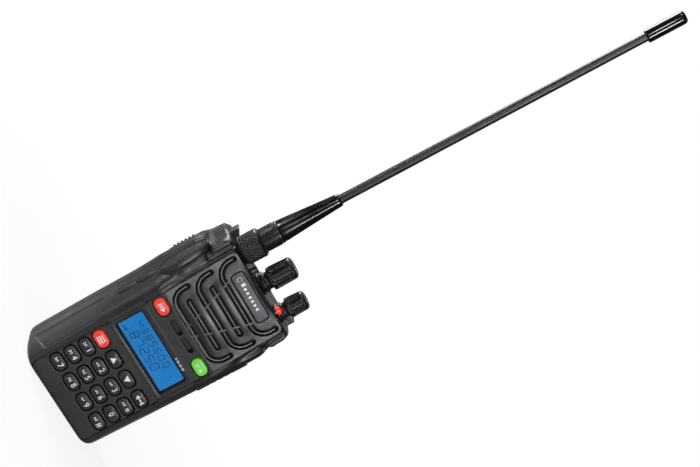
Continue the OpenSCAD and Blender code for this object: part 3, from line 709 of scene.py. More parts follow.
holes = []
for n in KEYS:
    cx, cz = key_centre(n)
    holes.append(shifted(round_rect(KEY_W + 0.9, KEY_H + 0.9, 2.6), cx, cz))
holes.append(shifted(round_rect(46.0, 20.6, 3.6), LCD_C[0], LCD_C[1] + 0.3))
for s in (-1, 1):
    holes.append(shifted(round_rect(8.0, 2.3, 1.14), s * 4.8, MIC_Z))
for i, run in enumerate(SLOT_RUNS):
    if i % 2 == 0:
        holes.append(shifted(u_slot(run, SLOT_HALF, SLOT_R, SLOT_RISE, SLOT_W), 0, BEND))
    else:
        holes.append(shifted(round_rect(2 * STRAIGHT, SLOT_W, SLOT_W / 2 - 0.01), 0, BEND + run))
PLATE_T = 30.9
holes.append(shifted(round_rect(25.4, 6.2, 1.5), 0, BEND + PLATE_T))
wide = (2 * HALF_PANEL - 0.2, PANEL_TOP - 0.3)
panel_outline = [a if a[1] > 0 else b for a, b in zip(round_rect(*wide, 2.6), round_rect(*wide, 4.4))]
panel_outline = shifted(panel_outline, 0, (PANEL_TOP + 0.3) / 2)


def panel_place(x, u, n):
    """The panel's own form: bent over at the bend, and rounded back along its lower edge."""
    px, py, pz = on_panel(x, u, n - THICK / 2)
    if u < BASE_FRONT_R:
        py += 0.8 * sag(BASE_FRONT_R, BASE_FRONT_R - u)
    return px, py, pz


xs = [i * 1.6 for i in range(-13, 14)]
us = [0.5, 0.8, 1.2, 1.6, 2.0, 2.4]
us += [BEND + d for d in (-0.38, -0.2, 0, 0.2, 0.38)]
us += [BEND + 0.9 + i * 0.72 for i in range(49)]
front_plate = bend_plate(
    curve_plate(panel_outline, holes, THICK, 0.5, 4), "front_panel",
    panel_place, xs, us, M["panel"],
    replaces=("front_case",))
# the leaning part has its own, smoother black finish
front_plate.data.materials.append(M["upper"])
for f in front_plate.data.polygons:
    if f.center.z > (BEND - 0.2) * MM:
        f.material_index = 1

# slot ribs, ties and the floors behind the openings; the ribs and ties are grey, a painted highlight, and
# each rib stands in for the highlight line inside its slot
ribs = []
for i, run in enumerate(SLOT_RUNS):
    path = []
    if i % 2 == 0:
        r, half = SLOT_R, SLOT_HALF
        for k in range(8, -1, -1):
            path.append((-half, run + r + (SLOT_RISE - r - 0.2) * k / 8))
        for k in range(1, 13):
            a = math.radians(180 + 90 * k / 12)
            path.append((-half + r + r * math.cos(a), run + r + r * math.sin(a)))
        for k in range(1, 24):
            path.append((-half + r + (2 * half - 2 * r) * k / 24, run))
        for k in range(0, 13):
            a = math.radians(270 + 90 * k / 12)
            path.append((half - r + r * math.cos(a), run + r + r * math.sin(a)))
        for k in range(1, 9):
            path.append((half, run + r + (SLOT_RISE - r - 0.2) * k / 8))
    else:
        path = [(-STRAIGHT + 1 + (2 * STRAIGHT - 2) * k / 24, run) for k in range(25)]
    ribs.append(tube([on_panel(x, BEND + u - 0.05, -0.42) for x, u in path], 0.42, 10))
v, f = join(*ribs)
levels = []
CLOTH_XS = (-20.4, -13, 0, 13, 20.4)
for k in range(29):
    u = BEND + 1.2 + 1.2 * k
    ring = [on_panel(x, u, -2.3) for x in CLOTH_XS]
    ring += [on_panel(x, u, -2.6) for x in CLOTH_XS[::-1]]
    levels.append(ring)
make("grille_cloth", *loft(levels), M["cloth"], replaces=("speaker_cloth",), slot="cloth_black", wn=False)
make("grille_wires", v, f, M["wire"], slot="case_black", degrees=60)

# the ties carry the same painted highlight grey as the ribs
ties = []
for run in SLOT_RUNS:
    for s in (-1, 1):
        k = 2.3 + 8.3 * run / 24.7
        a = on_panel(s * (k - 0.5), BEND + run - 1.5, -0.2)
        b = on_panel(s * (k + 0.5), BEND + run + 1.5, -0.2)
        ties.append(tube([a, b], 0.4, 10))
v, f = join(*ties)
make("grille_ties", v, f, M["wire"], slot="case_black", degrees=60)

# display surround: a sunk frame with sloping walls down to the window
cx, cz = LCD_C
levels = []
# width, height, corner and depth of the frame's rim, and then the wall's growth, corner and depth
for w, h, r, n in ((45.6, 20.2, 3.4, -0.6), (45.4, 20.0, 3.3, -0.12), (44.9, 19.5, 3.1, 0.0),
                   (44.3, 18.9, 2.9, -0.06), (44.2, 18.8, 2.9, -0.28), (43.8, 18.4, 2.7, -0.28),
                   (43.7, 18.3, 2.7, -0.08), (43.2, 17.9, 2.6, -0.04)):
    levels.append((shifted(round_rect(w, h, r), cx, cz + 0.3), n))
for g, r, n in ((1.7, 1.2, -0.06), (1.3, 1.0, -0.2), (1.1, 0.9, -0.5), (1.0, 0.8, -1.3)):
    levels.append((shifted(round_rect(LCD_W + g, LCD_H + g, r), cx, cz), n))
make("display_surround", *move(stack(levels, False), on_front), M["bezel"], slot="case_black", degrees=50,
     wn=False)

lv = []
for g, n in ((1.2, -1.2), (1.0, -1.9), (-0.3, -1.95), (-0.5, -2.0), (-0.5, -2.35)):
    lv.append((shifted(round_rect(LCD_W + g, LCD_H + g, 0.6), cx, cz), n))
make("display_frame", *move(stack(lv, False), on_front), M["dark"], slot="case_black", degrees=30, wn=False)
sheet = shifted(round_rect(LCD_W + 0.6, LCD_H + 0.6, 0.5), cx, cz)
DIGIT_LO, DIGIT_HI = -2.0, -1.94
make("display_face", *prism(sheet, -2.25, DIGIT_LO, on_front), M["lcd"], slot="display_blue")
make("display_window", *prism(sheet, -1.75, -1.55, on_front), M["glass"], replaces=("display_lens",),
     slot="window")


# display digits

SEGS = {"0": "abcdef", "1": "bc", "2": "abged", "3": "abgcd", "4": "fgbc", "5": "afgcd", "6": "afgcde",
        "7": "abc", "8": "abcdefg", "9": "abcdfg"}


def segment(x0, y0, w, h, t, which):
    """One bar of a digit, pointed at both ends and leaning a little."""
    g = t * 0.18
    if which in "agd":
        y = {"a": h / 2, "g": 0, "d": -h / 2}[which]
        a, b = -w / 2 + g, w / 2 - g
        pts = [(a, y), (a + t / 2, y + t / 2), (b - t / 2, y + t / 2), (b, y), (b - t / 2, y - t / 2),
               (a + t / 2, y - t / 2)]
    else:
        x = w / 2 if which in "bc" else -w / 2
        lo, hi = (g, h / 2 - g) if which in "bf" else (-h / 2 + g, -g)
        pts = [(x, lo), (x + t / 2, lo + t / 2), (x + t / 2, hi - t / 2), (x, hi), (x - t / 2, hi - t / 2),
               (x - t / 2, lo + t / 2)]
    return prism([(x0 + p + 0.1 * (q / h * w), y0 + q) for p, q in pts], DIGIT_LO, DIGIT_HI, on_front)


def digits(text, x0, y0, w, h, t, pitch):
    out = []
    x = x0
    for ch in text:
        for s in SEGS[ch]:
            out.append(segment(x, y0, w, h, t, s))
        x += pitch
    return out


marks = digits("4385600", cx - 13.6, cz + 2.5, 2.0, 3.0, 0.42, 3.7)
marks += digits("87250", cx - 10.4, cz - 2.3, 2.7, 3.7, 0.5, 4.35)
for i in range(4):
    step = shifted(round_rect(0.5, 0.5 + 0.45 * i, 0.05, 1), cx - 16.8 + 0.85 * i, cz - 4.6 + 0.225 * i)
    marks.append(prism(step, DIGIT_LO, DIGIT_HI, on_front))
v, f = join(*marks)
make("display_digits", v, f, M["digit"], slot="display_blue", degrees=20, wn=False)


# ---------------------------------------------------------------- outer shells

WALL_TURN = math.radians(8)


def on_wall(a, b, n, wall, cy, cz, lean, side=-1):
    """A point on the side wall, which faces a little forwards: across, along and outwards."""
    q = a * math.cos(lean) + b * math.sin(lean)
    return (side * (wall + n * math.cos(WALL_TURN) + q * math.sin(WALL_TURN)),
            cy + q * math.cos(WALL_TURN) - n * math.sin(WALL_TURN),
            cz - a * math.sin(lean) + b * math.cos(lean))


def side_prism(points, wall, cy, cz, lo, hi, lean=0.0, side=-1):
    """A prism that stands on a side wall; points are (across, along)."""

    def place(a, b, n):
        return on_wall(a, b, n, wall, cy, cz, lean, side)

    return prism(points, lo, hi, place)


shell = case_body("front_shell", 0.0, TOP, None, SPLIT)
BTN = {n: box_mm(n) for n in ("side_button_lower", "side_button_upper")}
WELL_WALL = 27.0
cuts = [side_prism(oval(9.4, 24.0), WELL_WALL, PTT_C.y, PTT_C.z, -1.4, 6, LEAN)]
for lo, hi in BTN.values():
    cuts.append(side_prism(oval(5.6, 9.8), WELL_WALL, *centre(lo, hi, "yz"), -1.0, 5))
COVER_LO, COVER_HI = box_mm("jack_cover")
well_y0, well_y1 = COVER_LO.y - 0.4, COVER_HI.y + 0.5
cuts.append(prism([(25.9, well_y0), (32, well_y0), (32, well_y1), (25.9, well_y1)],
                  COVER_LO.z - 0.3, COVER_HI.z + 0.3, upright))
LED_LO, LED_HI = box_mm("status_light")
SOCKETS = []
for node in ("speaker_jack", "microphone_jack"):
    lo, hi = box_mm(node)
    y, z = centre(lo, hi, "yz")
    radius = (hi.y - lo.y) / 2
    SOCKETS.append((node, y, z, radius))
    cuts.append(prism(shifted(circle(radius * 1.01, 48), y, z), 14.0, 27.0, along_x))
carve(shell, cuts)
# the mouth of each socket: a plug of metal from x 14.5 to 26.3 with a blind bore down to x 16
for node, y, z, radius in SOCKETS:
    bore = radius - 1.8
    v, f = lathe([(0.05, 14.5), (radius, 14.5), (radius, 26.1), (radius - 0.2, 26.3), (bore + 0.35, 26.3),
                  (bore, 26.0), (bore, 16), (0.05, 16)], 0, 0, 48)
    make(node + "_mouth", [(c, y + a, z + b) for a, b, c in v], f, M["metal"], replaces=(node,),
         slot="switch_black", degrees=35, wn=False)
solid_slot(shell, M["case"], "case", ("front_case",))

gasket = case_body("case_seal", 0.5, TOP - 0.5, SPLIT, SPLIT + 0.6, inset=0.5, step=2)
solid_slot(gasket, M["rubber"], "case", ("case_gasket",))

lower = case_body("rear_bay", 0.0, PACK_HI.z + 0.6, SPLIT + 0.6, PACK_LO.y - 0.2, step=1.5)
bay_cuts = []
SC_LO, SC_HI = box_mm("case_screws")
for x in (SC_LO.x + 2, SC_HI.x - 2):
    for z in (SC_LO.z + 2, SC_HI.z - 2):
        bay_cuts.append(prism(shifted(circle(2.05, 32), x, z), SC_HI.y - 0.8, SC_HI.y + 2, along_y))
CT_LO, CT_HI = box_mm("battery_contacts")
for i in range(3):
    x = CT_LO.x + 1.5 + i * (CT_HI.x - CT_LO.x - 3) / 2
    z = (CT_LO.z + CT_HI.z) / 2
    bay_cuts.append(prism(shifted(circle(1.55, 32), x, z), CT_LO.y - 0.2, CT_HI.y + 2, along_y))
carve(lower, bay_cuts)
solid_slot(lower, M["chassis"], "case", ("rear_chassis",))

LATCH_LO, LATCH_HI = box_mm("battery_latch")
upper = case_body("rear_upper", PACK_HI.z + 0.6, TOP, SPLIT + 0.6, None, step=0.8)
lw = (LATCH_HI.x - LATCH_LO.x) / 2
# the latch bar's lower and upper edge
lz0, lz1 = 74.9, 88.0
TONGUE_XS = (-12, 12)
latch_bed = shifted(round_rect(2 * lw + 0.7, lz1 - lz0 + 3.2, 0.8), 0, (lz0 + lz1) / 2 + 1.2)
upper_cuts = [prism(latch_bed, BACK_HI - 3.4, BACK_HI + 6, along_y)]
for x in TONGUE_XS:
    upper_cuts.append(prism(shifted(round_rect(6.7, 9, 0.3), x, lz0 - 3), BACK_HI - 3.4, BACK_HI - 1.0,
                            along_y))
for x in (-10, 10):
    upper_cuts.append(prism(shifted(circle(1.05, 32), x, 96.5), BACK_HI - 5, BACK_HI + 3, along_y))
carve(upper, upper_cuts)
solid_slot(upper, M["chassis"], "case", ("rear_chassis",))

# raised frame beside the latch, with ramped ends
frames = []
for s in (-1, 1):
    prof = [(BACK_HI - 4, 70.9), (BACK_HI - 1.2, 70.9), (BACK_HI + 0.9, 73.6), (BACK_HI + 1.5, 74.6),
            (BACK_HI + 1.55, 91.0), (BACK_HI + 0.9, 92.2), (BACK_HI - 1.2, 94.6), (BACK_HI - 4, 94.6)]
    x0, x1 = lw + 0.35, 28.6
    lv = []
    for x, g in ((x0, 0.35), (x0 + 0.3, 0), (x1 - 1.6, 0), (x1 - 0.7, 0.2), (x1 - 0.2, 0.7), (x1, 1.4)):
        ring = []
        for y, z in prof:
            ring.append((y - g, z + (0.6 * g if z < 82 else -0.6 * g)))
        lv.append((ring, s * x))
    frames.append(move(stack(lv), along_x))
    for i in range(6):
        z = lz0 + 1.5 + i * (lz1 - lz0 - 1.6) / 6
        rib = shifted(round_rect(7.6, 1.0, 0.3), s * 24.7, z)
        frames.append(prism(rib, BACK_HI + 1.2, BACK_HI + 2.5, along_y))
v, f = join(*frames)
make("latch_frame", v, f, M["chassis"], replaces=("rear_chassis",), slot="chassis_black", degrees=40)

# battery latch: ribbed bar with two tongues
parts = []
n_ribs = 6
prof = [(BACK_HI - 3, lz0 + 0.1), (BACK_HI + 0.6, lz0 + 0.1), (BACK_HI + 1.5, lz0 + 0.7)]
pitch = (lz1 - lz0 - 1.6) / n_ribs
for i in range(n_ribs):
    z = lz0 + 0.9 + i * pitch
    for dz, dy in ((0.0, 1.5), (0.15, 2.35), (0.35, 2.58), (0.85, 2.58), (1.05, 2.35), (1.2, 1.5)):
        prof.append((BACK_HI + dy, z + dz * pitch / 2.1))
prof += [(BACK_HI + 1.5, lz1 - 0.5), (BACK_HI + 0.6, lz1), (BACK_HI - 3, lz1)]
lv = []
for x, g in ((-lw, 0.5), (-lw + 0.5, 0), (lw - 0.5, 0), (lw, 0.5)):
    lv.append(([(y - (g if y > BACK_HI else 0), z) for y, z in prof], x))
parts.append(move(stack(lv), along_x))
for x in TONGUE_XS:
    parts.append(prism(shifted(round_rect(6, 1.6, 0.2), x, BACK_HI - 2.2), PACK_HI.z + 0.2, lz0 + 0.3,
                       upright))
v, f = join(*parts)
make("latch_bar", v, f, M["gloss"], body="latch", replaces=("battery_latch",), slot="trim_black", degrees=40)

# battery pack
pack = case_body("pack_shell", 0.4, PACK_HI.z, PACK_LO.y, None, step=1.0)
pack_cuts = [prism(shifted(round_rect(52, 1.0, 0.4), 0, BACK_HI + 0.2), 4, 5.0, upright)]
for k in range(7):
    groove = shifted(round_rect(26, 1.0, 0.45), 0, 14 + 3.2 * k)
    pack_cuts.append(prism(groove, BACK_HI - 0.6, BACK_HI + 1, along_y))
CELL_LO, CELL_HI = box_mm("battery_cells")
hollow = shifted(round_rect(46.4, CELL_HI.z - CELL_LO.z + 2.4, 1), 0, (CELL_HI.z + CELL_LO.z) / 2)
pack_cuts.append(prism(hollow, PACK_LO.y - 1, CELL_HI.y + 0.2, along_y))
carve(pack, pack_cuts)
solid_slot(pack, M["pack"], "battery_pack", ("battery_shell",))


# ---------------------------------------------------------------- keys

def pillow(w, h, r, base, top, dome=0.28, edge=0.55):
    lv = [(round_rect(w, h, r), base), (round_rect(w, h, r), top - edge)]
    for i in range(1, 7):
        a = math.pi / 2 * i / 6
        g = edge * (1 - math.cos(a))
        lv.append((round_rect(w - 2 * g, h - 2 * g, max(r - g, 0.4)), top - edge + edge * math.sin(a) * 0.75))
    for k in (0.8, 0.55, 0.3, 0.08):
        lv.append((round_rect((w - 2 * edge) * k, (h - 2 * edge) * k, max((r - edge) * k, 0.05)),
                   top - edge * 0.25 + dome * (1 - k ** 2)))
    return stack(lv)


KEY_TOP = FRONT - KEYS["key_1"][0].y
KEY_LOOKS = {"key_menu": ("red", "key_red"), "key_red": ("red", "key_red"),
             "key_green": ("green", "key_green")}
for n in KEYS:
    cx, cz = key_centre(n)
    look, slot = KEY_LOOKS.get(n, ("key", "key_black"))
    part = pillow(KEY_W, KEY_H, 2.25, -2.2, KEY_TOP - 0.25, dome=0.22)
    part = move(part, lambda x, y, z, a=cx, b=cz: on_front(x + a, y + b, z))
    make("cap_" + n[4:], *part, M[look], body=n + "_body", replaces=(n,), slot=slot, degrees=50, wn=False)


def glyph(name, pieces, body, mat, slot="key_black"):
    v, f = join(*pieces)
    make(name, v, f, mat, body=body, slot=slot, degrees=20, wn=False)


LEG0, LEG1 = KEY_TOP - 0.1, KEY_TOP - 0.015


def bar(x, y, w, h, r=0.12):
    return prism(shifted(round_rect(w, h, min(r, w / 2 - 0.01, h / 2 - 0.01), 3), x, y), LEG0, LEG1, on_front)


def poly(pts):
    return prism(pts, LEG0, LEG1, on_front)


def text_part(ch, x, y, size):
    cu = bpy.data.curves.new("t", "FONT")
    cu.body = ch
    cu.size = size
    cu.align_x = "CENTER"
    cu.align_y = "CENTER"
    cu.extrude = 0.5
    cu.offset = 0.015
    cu.resolution_u = 3
    ob = add_object("t", cu)
    me = evaluated_mesh(ob)
    v = [on_front(p.co.x + x, p.co.y + y, LEG0 + (p.co.z + 0.5) * (LEG1 - LEG0)) for p in me.vertices]
    f = [tuple(p.vertices) for p in me.polygons]
    bpy.data.objects.remove(ob)
    return v, f


for n in KEYS:
    cx, cz = key_centre(n)
    tag = n[4:]
    body = n + "_body"
    colour = KEY_LOOKS.get(n, ("key", "key_black"))[1]
    if tag.isdigit() or tag in ("star", "hash"):
        ch = {"star": "*", "hash": "#"}.get(tag, tag)
        dx = 0 if tag == "0" else 1.7
        drop, size = (0.9, 4.6) if tag == "star" else (0.0, 3.6)
        parts = [text_part(ch, cx + dx, cz - drop, size)]
        if tag != "0":
            # three short bars stand in for the letters
            k = int(tag) if tag.isdigit() else 5
            for i in range(3):
                tall = 0.9 + 0.25 * ((k * (i + 2)) % 3)
                parts.append(bar(cx - 2.3 + i * 0.72, cz + 0.2 * ((k + i) % 2), 0.34, tall))
    elif tag in ("up", "down"):
        s = 1 if tag == "up" else -1
        parts = [poly([(cx - 1.6, cz - 1.15 * s), (cx + 1.6, cz - 1.15 * s), (cx, cz + 1.35 * s)][::s])]
    elif tag == "exit":
        arrow = poly([(cx - 2.3, cz), (cx - 0.7, cz - 1.2), (cx - 0.7, cz + 1.2)])
        parts = [bar(cx + 0.5, cz, 3.0, 0.6), arrow, bar(cx + 2.3, cz, 0.55, 2.2)]
    elif tag == "menu":
        parts = [bar(cx, cz + d, 3.8, 0.5) for d in (-1.1, 0, 1.1)]
    elif tag == "red":
        arrow = poly([(cx + 0.5, cz - 1.2), (cx + 2.4, cz), (cx + 0.5, cz + 1.2)])
        parts = [bar(cx - 1.6, cz, 0.6, 2.3), bar(cx - 0.4, cz, 0.6, 1.6), arrow]
    elif tag == "green":
        parts = [bar(cx - 1.3, cz + d, 2.0, 0.5) for d in (-0.8, 0.2)]
        parts.append(bar(cx + 1.4, cz - 0.3, 1.6, 1.6, 0.78))
    glyph("legend_" + tag, parts, body, M["white"], colour)

# four small marks where the display surround has its line of print
lx, lz = LCD_C[0] + 11, LCD_C[1] + LCD_H / 2 + 1.9
v, f = join(*[prism(shifted(round_rect(w, 0.9, 0.3, 3), lx + dx, lz), -0.1, 0.03, on_front)
              for dx, w in ((-3.2, 0.9), (-1.5, 1.6), (0.6, 1.6), (2.6, 1.4))])
make("surround_marks", v, f, M["print"], slot="case_black", degrees=20, wn=False)


# ---------------------------------------------------------------- nameplate

def on_upper(x, u, n):
    return on_panel(x, BEND + u, n)


lv = []
for g, n in ((0, -0.9), (0, -0.28), (0.12, -0.12), (0.3, -0.08)):
    lv.append((shifted(round_rect(25.1 - 2 * g, 5.9 - 2 * g, 1.35), 0, PLATE_T), n))
make("name_inset", *move(stack(lv), on_upper), M["plate"], replaces=("nameplate",), slot="plate_grey",
     wn=False)
motif = []
arc = [on_upper(-9.4 + 1.05 * math.cos(a * math.pi / 14), PLATE_T + 1.05 * math.sin(a * math.pi / 14), -0.06)
       for a in range(26)]
motif.append(tube(arc, 0.14, 6))
for i, h in enumerate((2.0, 1.3, 1.3, 1.3, 1.3, 1.3, 1.3)):
    block = round_rect(1.25 if i else 1.5, h, 0.2, 3)
    motif.append(prism(shifted(block, -6.6 + 2.15 * i, PLATE_T + (h - 1.3) / 2), -0.1, -0.02, on_upper))
v, f = join(*motif)
make("name_marks", v, f, M["white"], slot="plate_grey", degrees=20, wn=False)


# ---------------------------------------------------------------- side buttons and socket cover

def side_piece(name, levels, wall, cy, cz, mat, body, replaces, slot, lean=0.0, side=-1, rough=0.0, seed=0):
    v, f = stack(levels)
    n = len(levels[0][0])
    out = []
    for i, (a, b, h) in enumerate(v):
        if rough and i // n >= 9:
            q = noise.noise(Vector((a * 1.15 + seed, b * 1.15, 0.3)))
            q += 0.5 * noise.noise(Vector((a * 2.7, b * 2.7 + seed, 1.7)))
            h += rough * q * ramp(len(levels) - i / n, 1, 6)
        out.append(on_wall(a, b, h, wall, cy, cz, lean, side))
    return make(name, out, f, mat, body=body, replaces=replaces, slot=slot, degrees=45, wn=False)


def oval_levels(w, h, base, top):
    """A button: straight wall, rounded rim, groove and crowned middle."""
    lv = [(oval(w, h), base), (oval(w, h), top - 0.55), (oval(w - 0.12, h - 0.12), top - 0.25),
          (oval(w - 0.4, h - 0.4), top - 0.08), (oval(w - 0.8, h - 0.8), top),
          (oval(w - 1.3, h - 1.3), top - 0.05), (oval(w - 1.6, h - 1.6), top - 0.38),
          (oval(w - 2.0, h - 2.0), top - 0.4), (oval(w - 2.3, h - 2.3), top - 0.12)]
    for k in (0.94, 0.86, 0.78, 0.7, 0.62, 0.54, 0.46, 0.38, 0.3, 0.22, 0.14, 0.06):
        lv.append((oval((w - 2.3) * k, (h - 2.3) * k), top - 0.08 + 0.3 * (1 - k * k)))
    return lv


side_piece("talk_cap", oval_levels(8.9, 23.4, -2.6, 0.85), 29.3, PTT_C.y, PTT_C.z, M["rubber"],
           "talk_button_body", ("talk_button",), "rubber_black", LEAN, rough=0.22)
lv = []
for g, h in ((1.5, -1.6), (1.5, 0.15), (1.3, 0.36), (0.95, 0.42), (0.7, 0.36), (0.62, 0.1), (0.62, -1.6)):
    lv.append((oval(9.0 + 2 * g * 0.62, 23.6 + 2 * g * 0.62), h))
side_piece("talk_ring", lv, 29.6, PTT_C.y, PTT_C.z, M["case"], "case", ("ptt_frame",), "trim_black", LEAN)
for n, (lo, hi) in BTN.items():
    y, z = centre(lo, hi, "yz")
    w = half_width(z)
    side_piece("cap_" + n, oval_levels(5.2, 9.4, -2.2, 0.4), w - 0.35, y, z, M["rubber"], n + "_body", (n,),
               "rubber_black")
# the long inset's own skin, which follows the rounded side
rings = []
for i in range(22, 56):
    t = (i - 2) / CORNER_N * 90
    z_lo, z_hi = inset_ends(t)
    near, far = [], []
    for j in range(17):
        z = z_lo + 1.6 + (z_hi - z_lo - 3.2) * j / 16
        pts = outline(z, -1)
        tx, ty = pts[i + 1][0] - pts[i - 1][0], pts[i + 1][1] - pts[i - 1][1]
        k = math.hypot(tx, ty)
        near.append((pts[i][0] - ty / k * 0.1, pts[i][1] + tx / k * 0.1, z))
        far.append((pts[i][0] + ty / k * 0.4, pts[i][1] - tx / k * 0.4, z))
    rings.append(near + far[::-1])
make("inset_skin", *loft(rings), M["panel"], replaces=("side_inset",), slot="case_black", degrees=40,
     wn=False)

# cover over the sockets, with the radius that rounds its ends
FLAP_R = 1.2
cy0, cy1 = COVER_LO.y, COVER_HI.y - 1.0
cz0, cz1 = COVER_LO.z, COVER_HI.z
rows = []
for k in range(30):
    z = cz0 + (cz1 - cz0) * k / 29
    e = min(z - cz0, cz1 - z)
    g = sag(FLAP_R, FLAP_R - e) if e < FLAP_R else 0
    ring = []
    for i in range(25):
        t = math.pi / 2 * i / 24
        x = 25.2 + (30.1 - 25.2 - g) * math.sin(t) ** 0.7
        y = cy0 + (0.25 + g * 0.6) + (SIDE_Y - cy0 - 1.2) * (1 - max(math.cos(t), 0) ** 0.8)
        ring.append((x, y))
    ring += [(30.1 - g, cy1 - 1.2), (29.8 - g, cy1 - 0.3), (29.2 - g, cy1)]
    ring += [(28.2, cy1), (28.2, -6.0), (27.4, -10.2)]
    rows.append((ring, z))
cover = add_object("socket_flap", mesh_mm("socket_flap", *stack(rows)))
cuts = []
for k in range(4):
    z = cz0 + 6.5 + k * 3.4
    cuts.append(prism([(28.0, -14), (31, -14), (31, -4.0), (28.9, -4.0)], z, z + 1.5, upright))
carve(cover, cuts)
solid_slot(cover, M["rubber"], "socket_cover", ("jack_cover",), 40)
PIN_LO, PIN_HI = box_mm("hinge_pin")
hx, hy = centre(PIN_LO, PIN_HI)
v, f = lathe([(0.5, cz0 + 0.02), (0.93, cz0 + 0.3), (0.93, cz1 - 0.3), (0.5, cz1 - 0.02)], hx, hy, 24)
make("flap_barrel", v, f, M["rubber"], body="socket_cover", replaces=("jack_cover",), slot="rubber_black")
ears = []
for z in (cz0 - 1.75, cz1 + 0.35):
    ears.append(prism(shifted(round_rect(4.36, 2.2, 1.05), hx - 1.2, hy), z, z + 1.4, upright))
make("flap_ears", *join(*ears), M["case"], replaces=("front_case",), slot="case_black")


# ---------------------------------------------------------------- top: knobs, lamp, screw, lugs

def knob(name, node, body):
    """A collar and a fluted cap with a white mark on top."""
    lo, hi = box_mm(node)
    cx, cy = centre(lo, hi)
    r = (hi.x - lo.x) / 2
    z0, z1 = lo.z, hi.z
    zf = z0 + 5.2
    flutes = 8
    za, zb = zf + 2.2, z1 - 2.6
    half = r * 0.2

    def shape(q, a, z):
        u = a * flutes / (2 * math.pi)
        s = (u - round(u)) * 2 * math.pi / flutes * r
        d = math.hypot(s, z - min(max(z, za), zb))
        k = 1 - ramp(d, half - 0.2, half + 0.35)
        return q - 1.05 * k if z > zf else q

    # the collar and neck, as shares of the radius and heights above the foot
    prof = [(r * k, z0 + h) for k, h in (
        (0.8, 0.02), (0.93, 0.15), (0.98, 0.6), (0.93, 1.1), (0.8, 1.3), (0.78, 1.6), (0.9, 1.8), (0.93, 2.3),
        (0.88, 2.8), (0.76, 3.0), (0.73, 3.4), (0.73, 4.6), (0.8, 4.9))]
    prof += [(r * 0.95, zf), (r - 0.03, zf + 0.35)]
    m = 30
    for i in range(1, m + 1):
        prof.append((r - 0.03 - 0.3 * i / m, zf + 0.35 + (z1 - zf - 2.15) * i / m))
    for i in range(1, 11):
        a = math.pi / 2 * i / 10
        prof.append((r - 0.33 - 1.7 * (1 - math.cos(a)), z1 - 1.8 + 1.75 * math.sin(a)))
    prof += [(r * k, z1 - h) for k, h in ((0.58, 0.03), (0.54, 0.25), (0.4, 0.3), (0.2, 0.28))]
    prof.append((0.05, z1 - 0.27))
    make(name, *lathe(prof, cx, cy, flutes * 26, shape), M["knob"], body=body, replaces=(node,),
         slot="knob_black", degrees=60, wn=False)
    mark = prism(shifted(round_rect(r * 0.3, 0.5, 0.2, 3), cx + r * 0.3, cy), z1 - 0.3, z1 - 0.2, upright)
    make(name + "_mark", *mark, M["white"], body=body, slot="knob_black", degrees=20, wn=False)


knob("channel_dial", "channel_knob", "channel_control")
knob("volume_dial", "volume_knob", "volume_control_knob")
for node in ("channel_knob", "volume_knob"):
    lo, hi = box_mm(node)
    r = (hi.x - lo.x) / 2
    prof = [(r * 1.2, TOP - 0.6), (r * 1.18, TOP - 0.05), (r * 1.08, TOP + 0.2), (r * 0.5, TOP + 0.24)]
    make("seat_" + node, *lathe(prof, *centre(lo, hi), 48), M["case"], slot="case_black", degrees=40)

lx, ly = centre(LED_LO, LED_HI)
lw0, lw1 = LED_HI.x - LED_LO.x, LED_HI.y - LED_LO.y
lv = [(shifted(oval(lw0 + g, lw1 + g, 48, 2.2), lx, ly), TOP + h)
      for g, h in ((1.1, -0.6), (1.0, 0.8), (0.8, 1.3), (0.4, 1.35), (0.25, 0.9))]
make("lamp_rim", *stack(lv), M["gloss"], slot="case_black", degrees=40)
lv = []
lh = LED_HI.z - TOP
for i in range(11):
    q = math.pi / 2 * i / 10
    k = max(math.cos(q), 0.03)
    lv.append((shifted(oval(lw0 * k, lw1 * k, 48, 2.1), lx, ly), TOP + 1.7 + (lh - 1.75) * math.sin(q)))
lv.insert(0, (shifted(oval(lw0, lw1, 48, 2.1), lx, ly), TOP - 0.5))
make("status_lens", *stack(lv), M["light"], replaces=("status_light",), slot="light_red", degrees=60,
     wn=False)

lo, hi = box_mm("top_screw")
sx, sy = centre(lo, hi)


def teeth(q, a, z):
    return q - (0.28 if math.cos(a * 9) < -0.1 and q > 1.1 else 0)


prof = [(1.45, TOP - 1.2), (1.45, hi.z - 0.35), (1.3, hi.z - 0.1)]
prof += [(q, hi.z - 0.05) for q in (1.0, 0.3, 0.05)]
screw = make("mark_screw", *lathe(prof, sx, sy, 72, teeth), M["gloss"], replaces=("top_screw",), slot="steel",
             degrees=40, wn=False)
screw_slot = [(sx - 2, sy - 0.25), (sx + 2, sy - 0.25), (sx + 2, sy + 0.25), (sx - 2, sy + 0.25)]
carve(screw, [prism(screw_slot, hi.z - 0.6, hi.z + 1, upright)])
smooth(screw, 40)

lo, hi = box_mm("strap_lugs")
lugs = []
for s in (-1, 1):
    cx = hi.x - 2.2
    prof = [(cx - 4.7, TOP - 1.5), (cx - 4.5, TOP + 1.2), (cx - 4.1, TOP + 1.6), (cx + 0.2, hi.z - 0.15),
            (cx + 0.8, hi.z - 0.1), (cx + 1.1, hi.z - 0.5), (cx + 1.15, TOP - 1.5)]
    mid_x, mid_z = cx - 2, TOP + 0.6
    lv = []
    for y, g in ((lo.y, 0.16), (lo.y + 0.15, 0.04), (lo.y + 0.4, 0),
                 (hi.y - 2.9, 0), (hi.y - 2.5, 0.05), (hi.y - 2.3, 0.16)):
        lv.append(([(s * (x + (mid_x - x) * g), z + (mid_z - z) * g) for x, z in prof], y))
    lugs.append(move(stack(lv), along_y))
make("corner_lugs", *join(*lugs), M["lug"], replaces=("strap_lugs",), slot="steel", degrees=35)


# ---------------------------------------------------------------- antenna

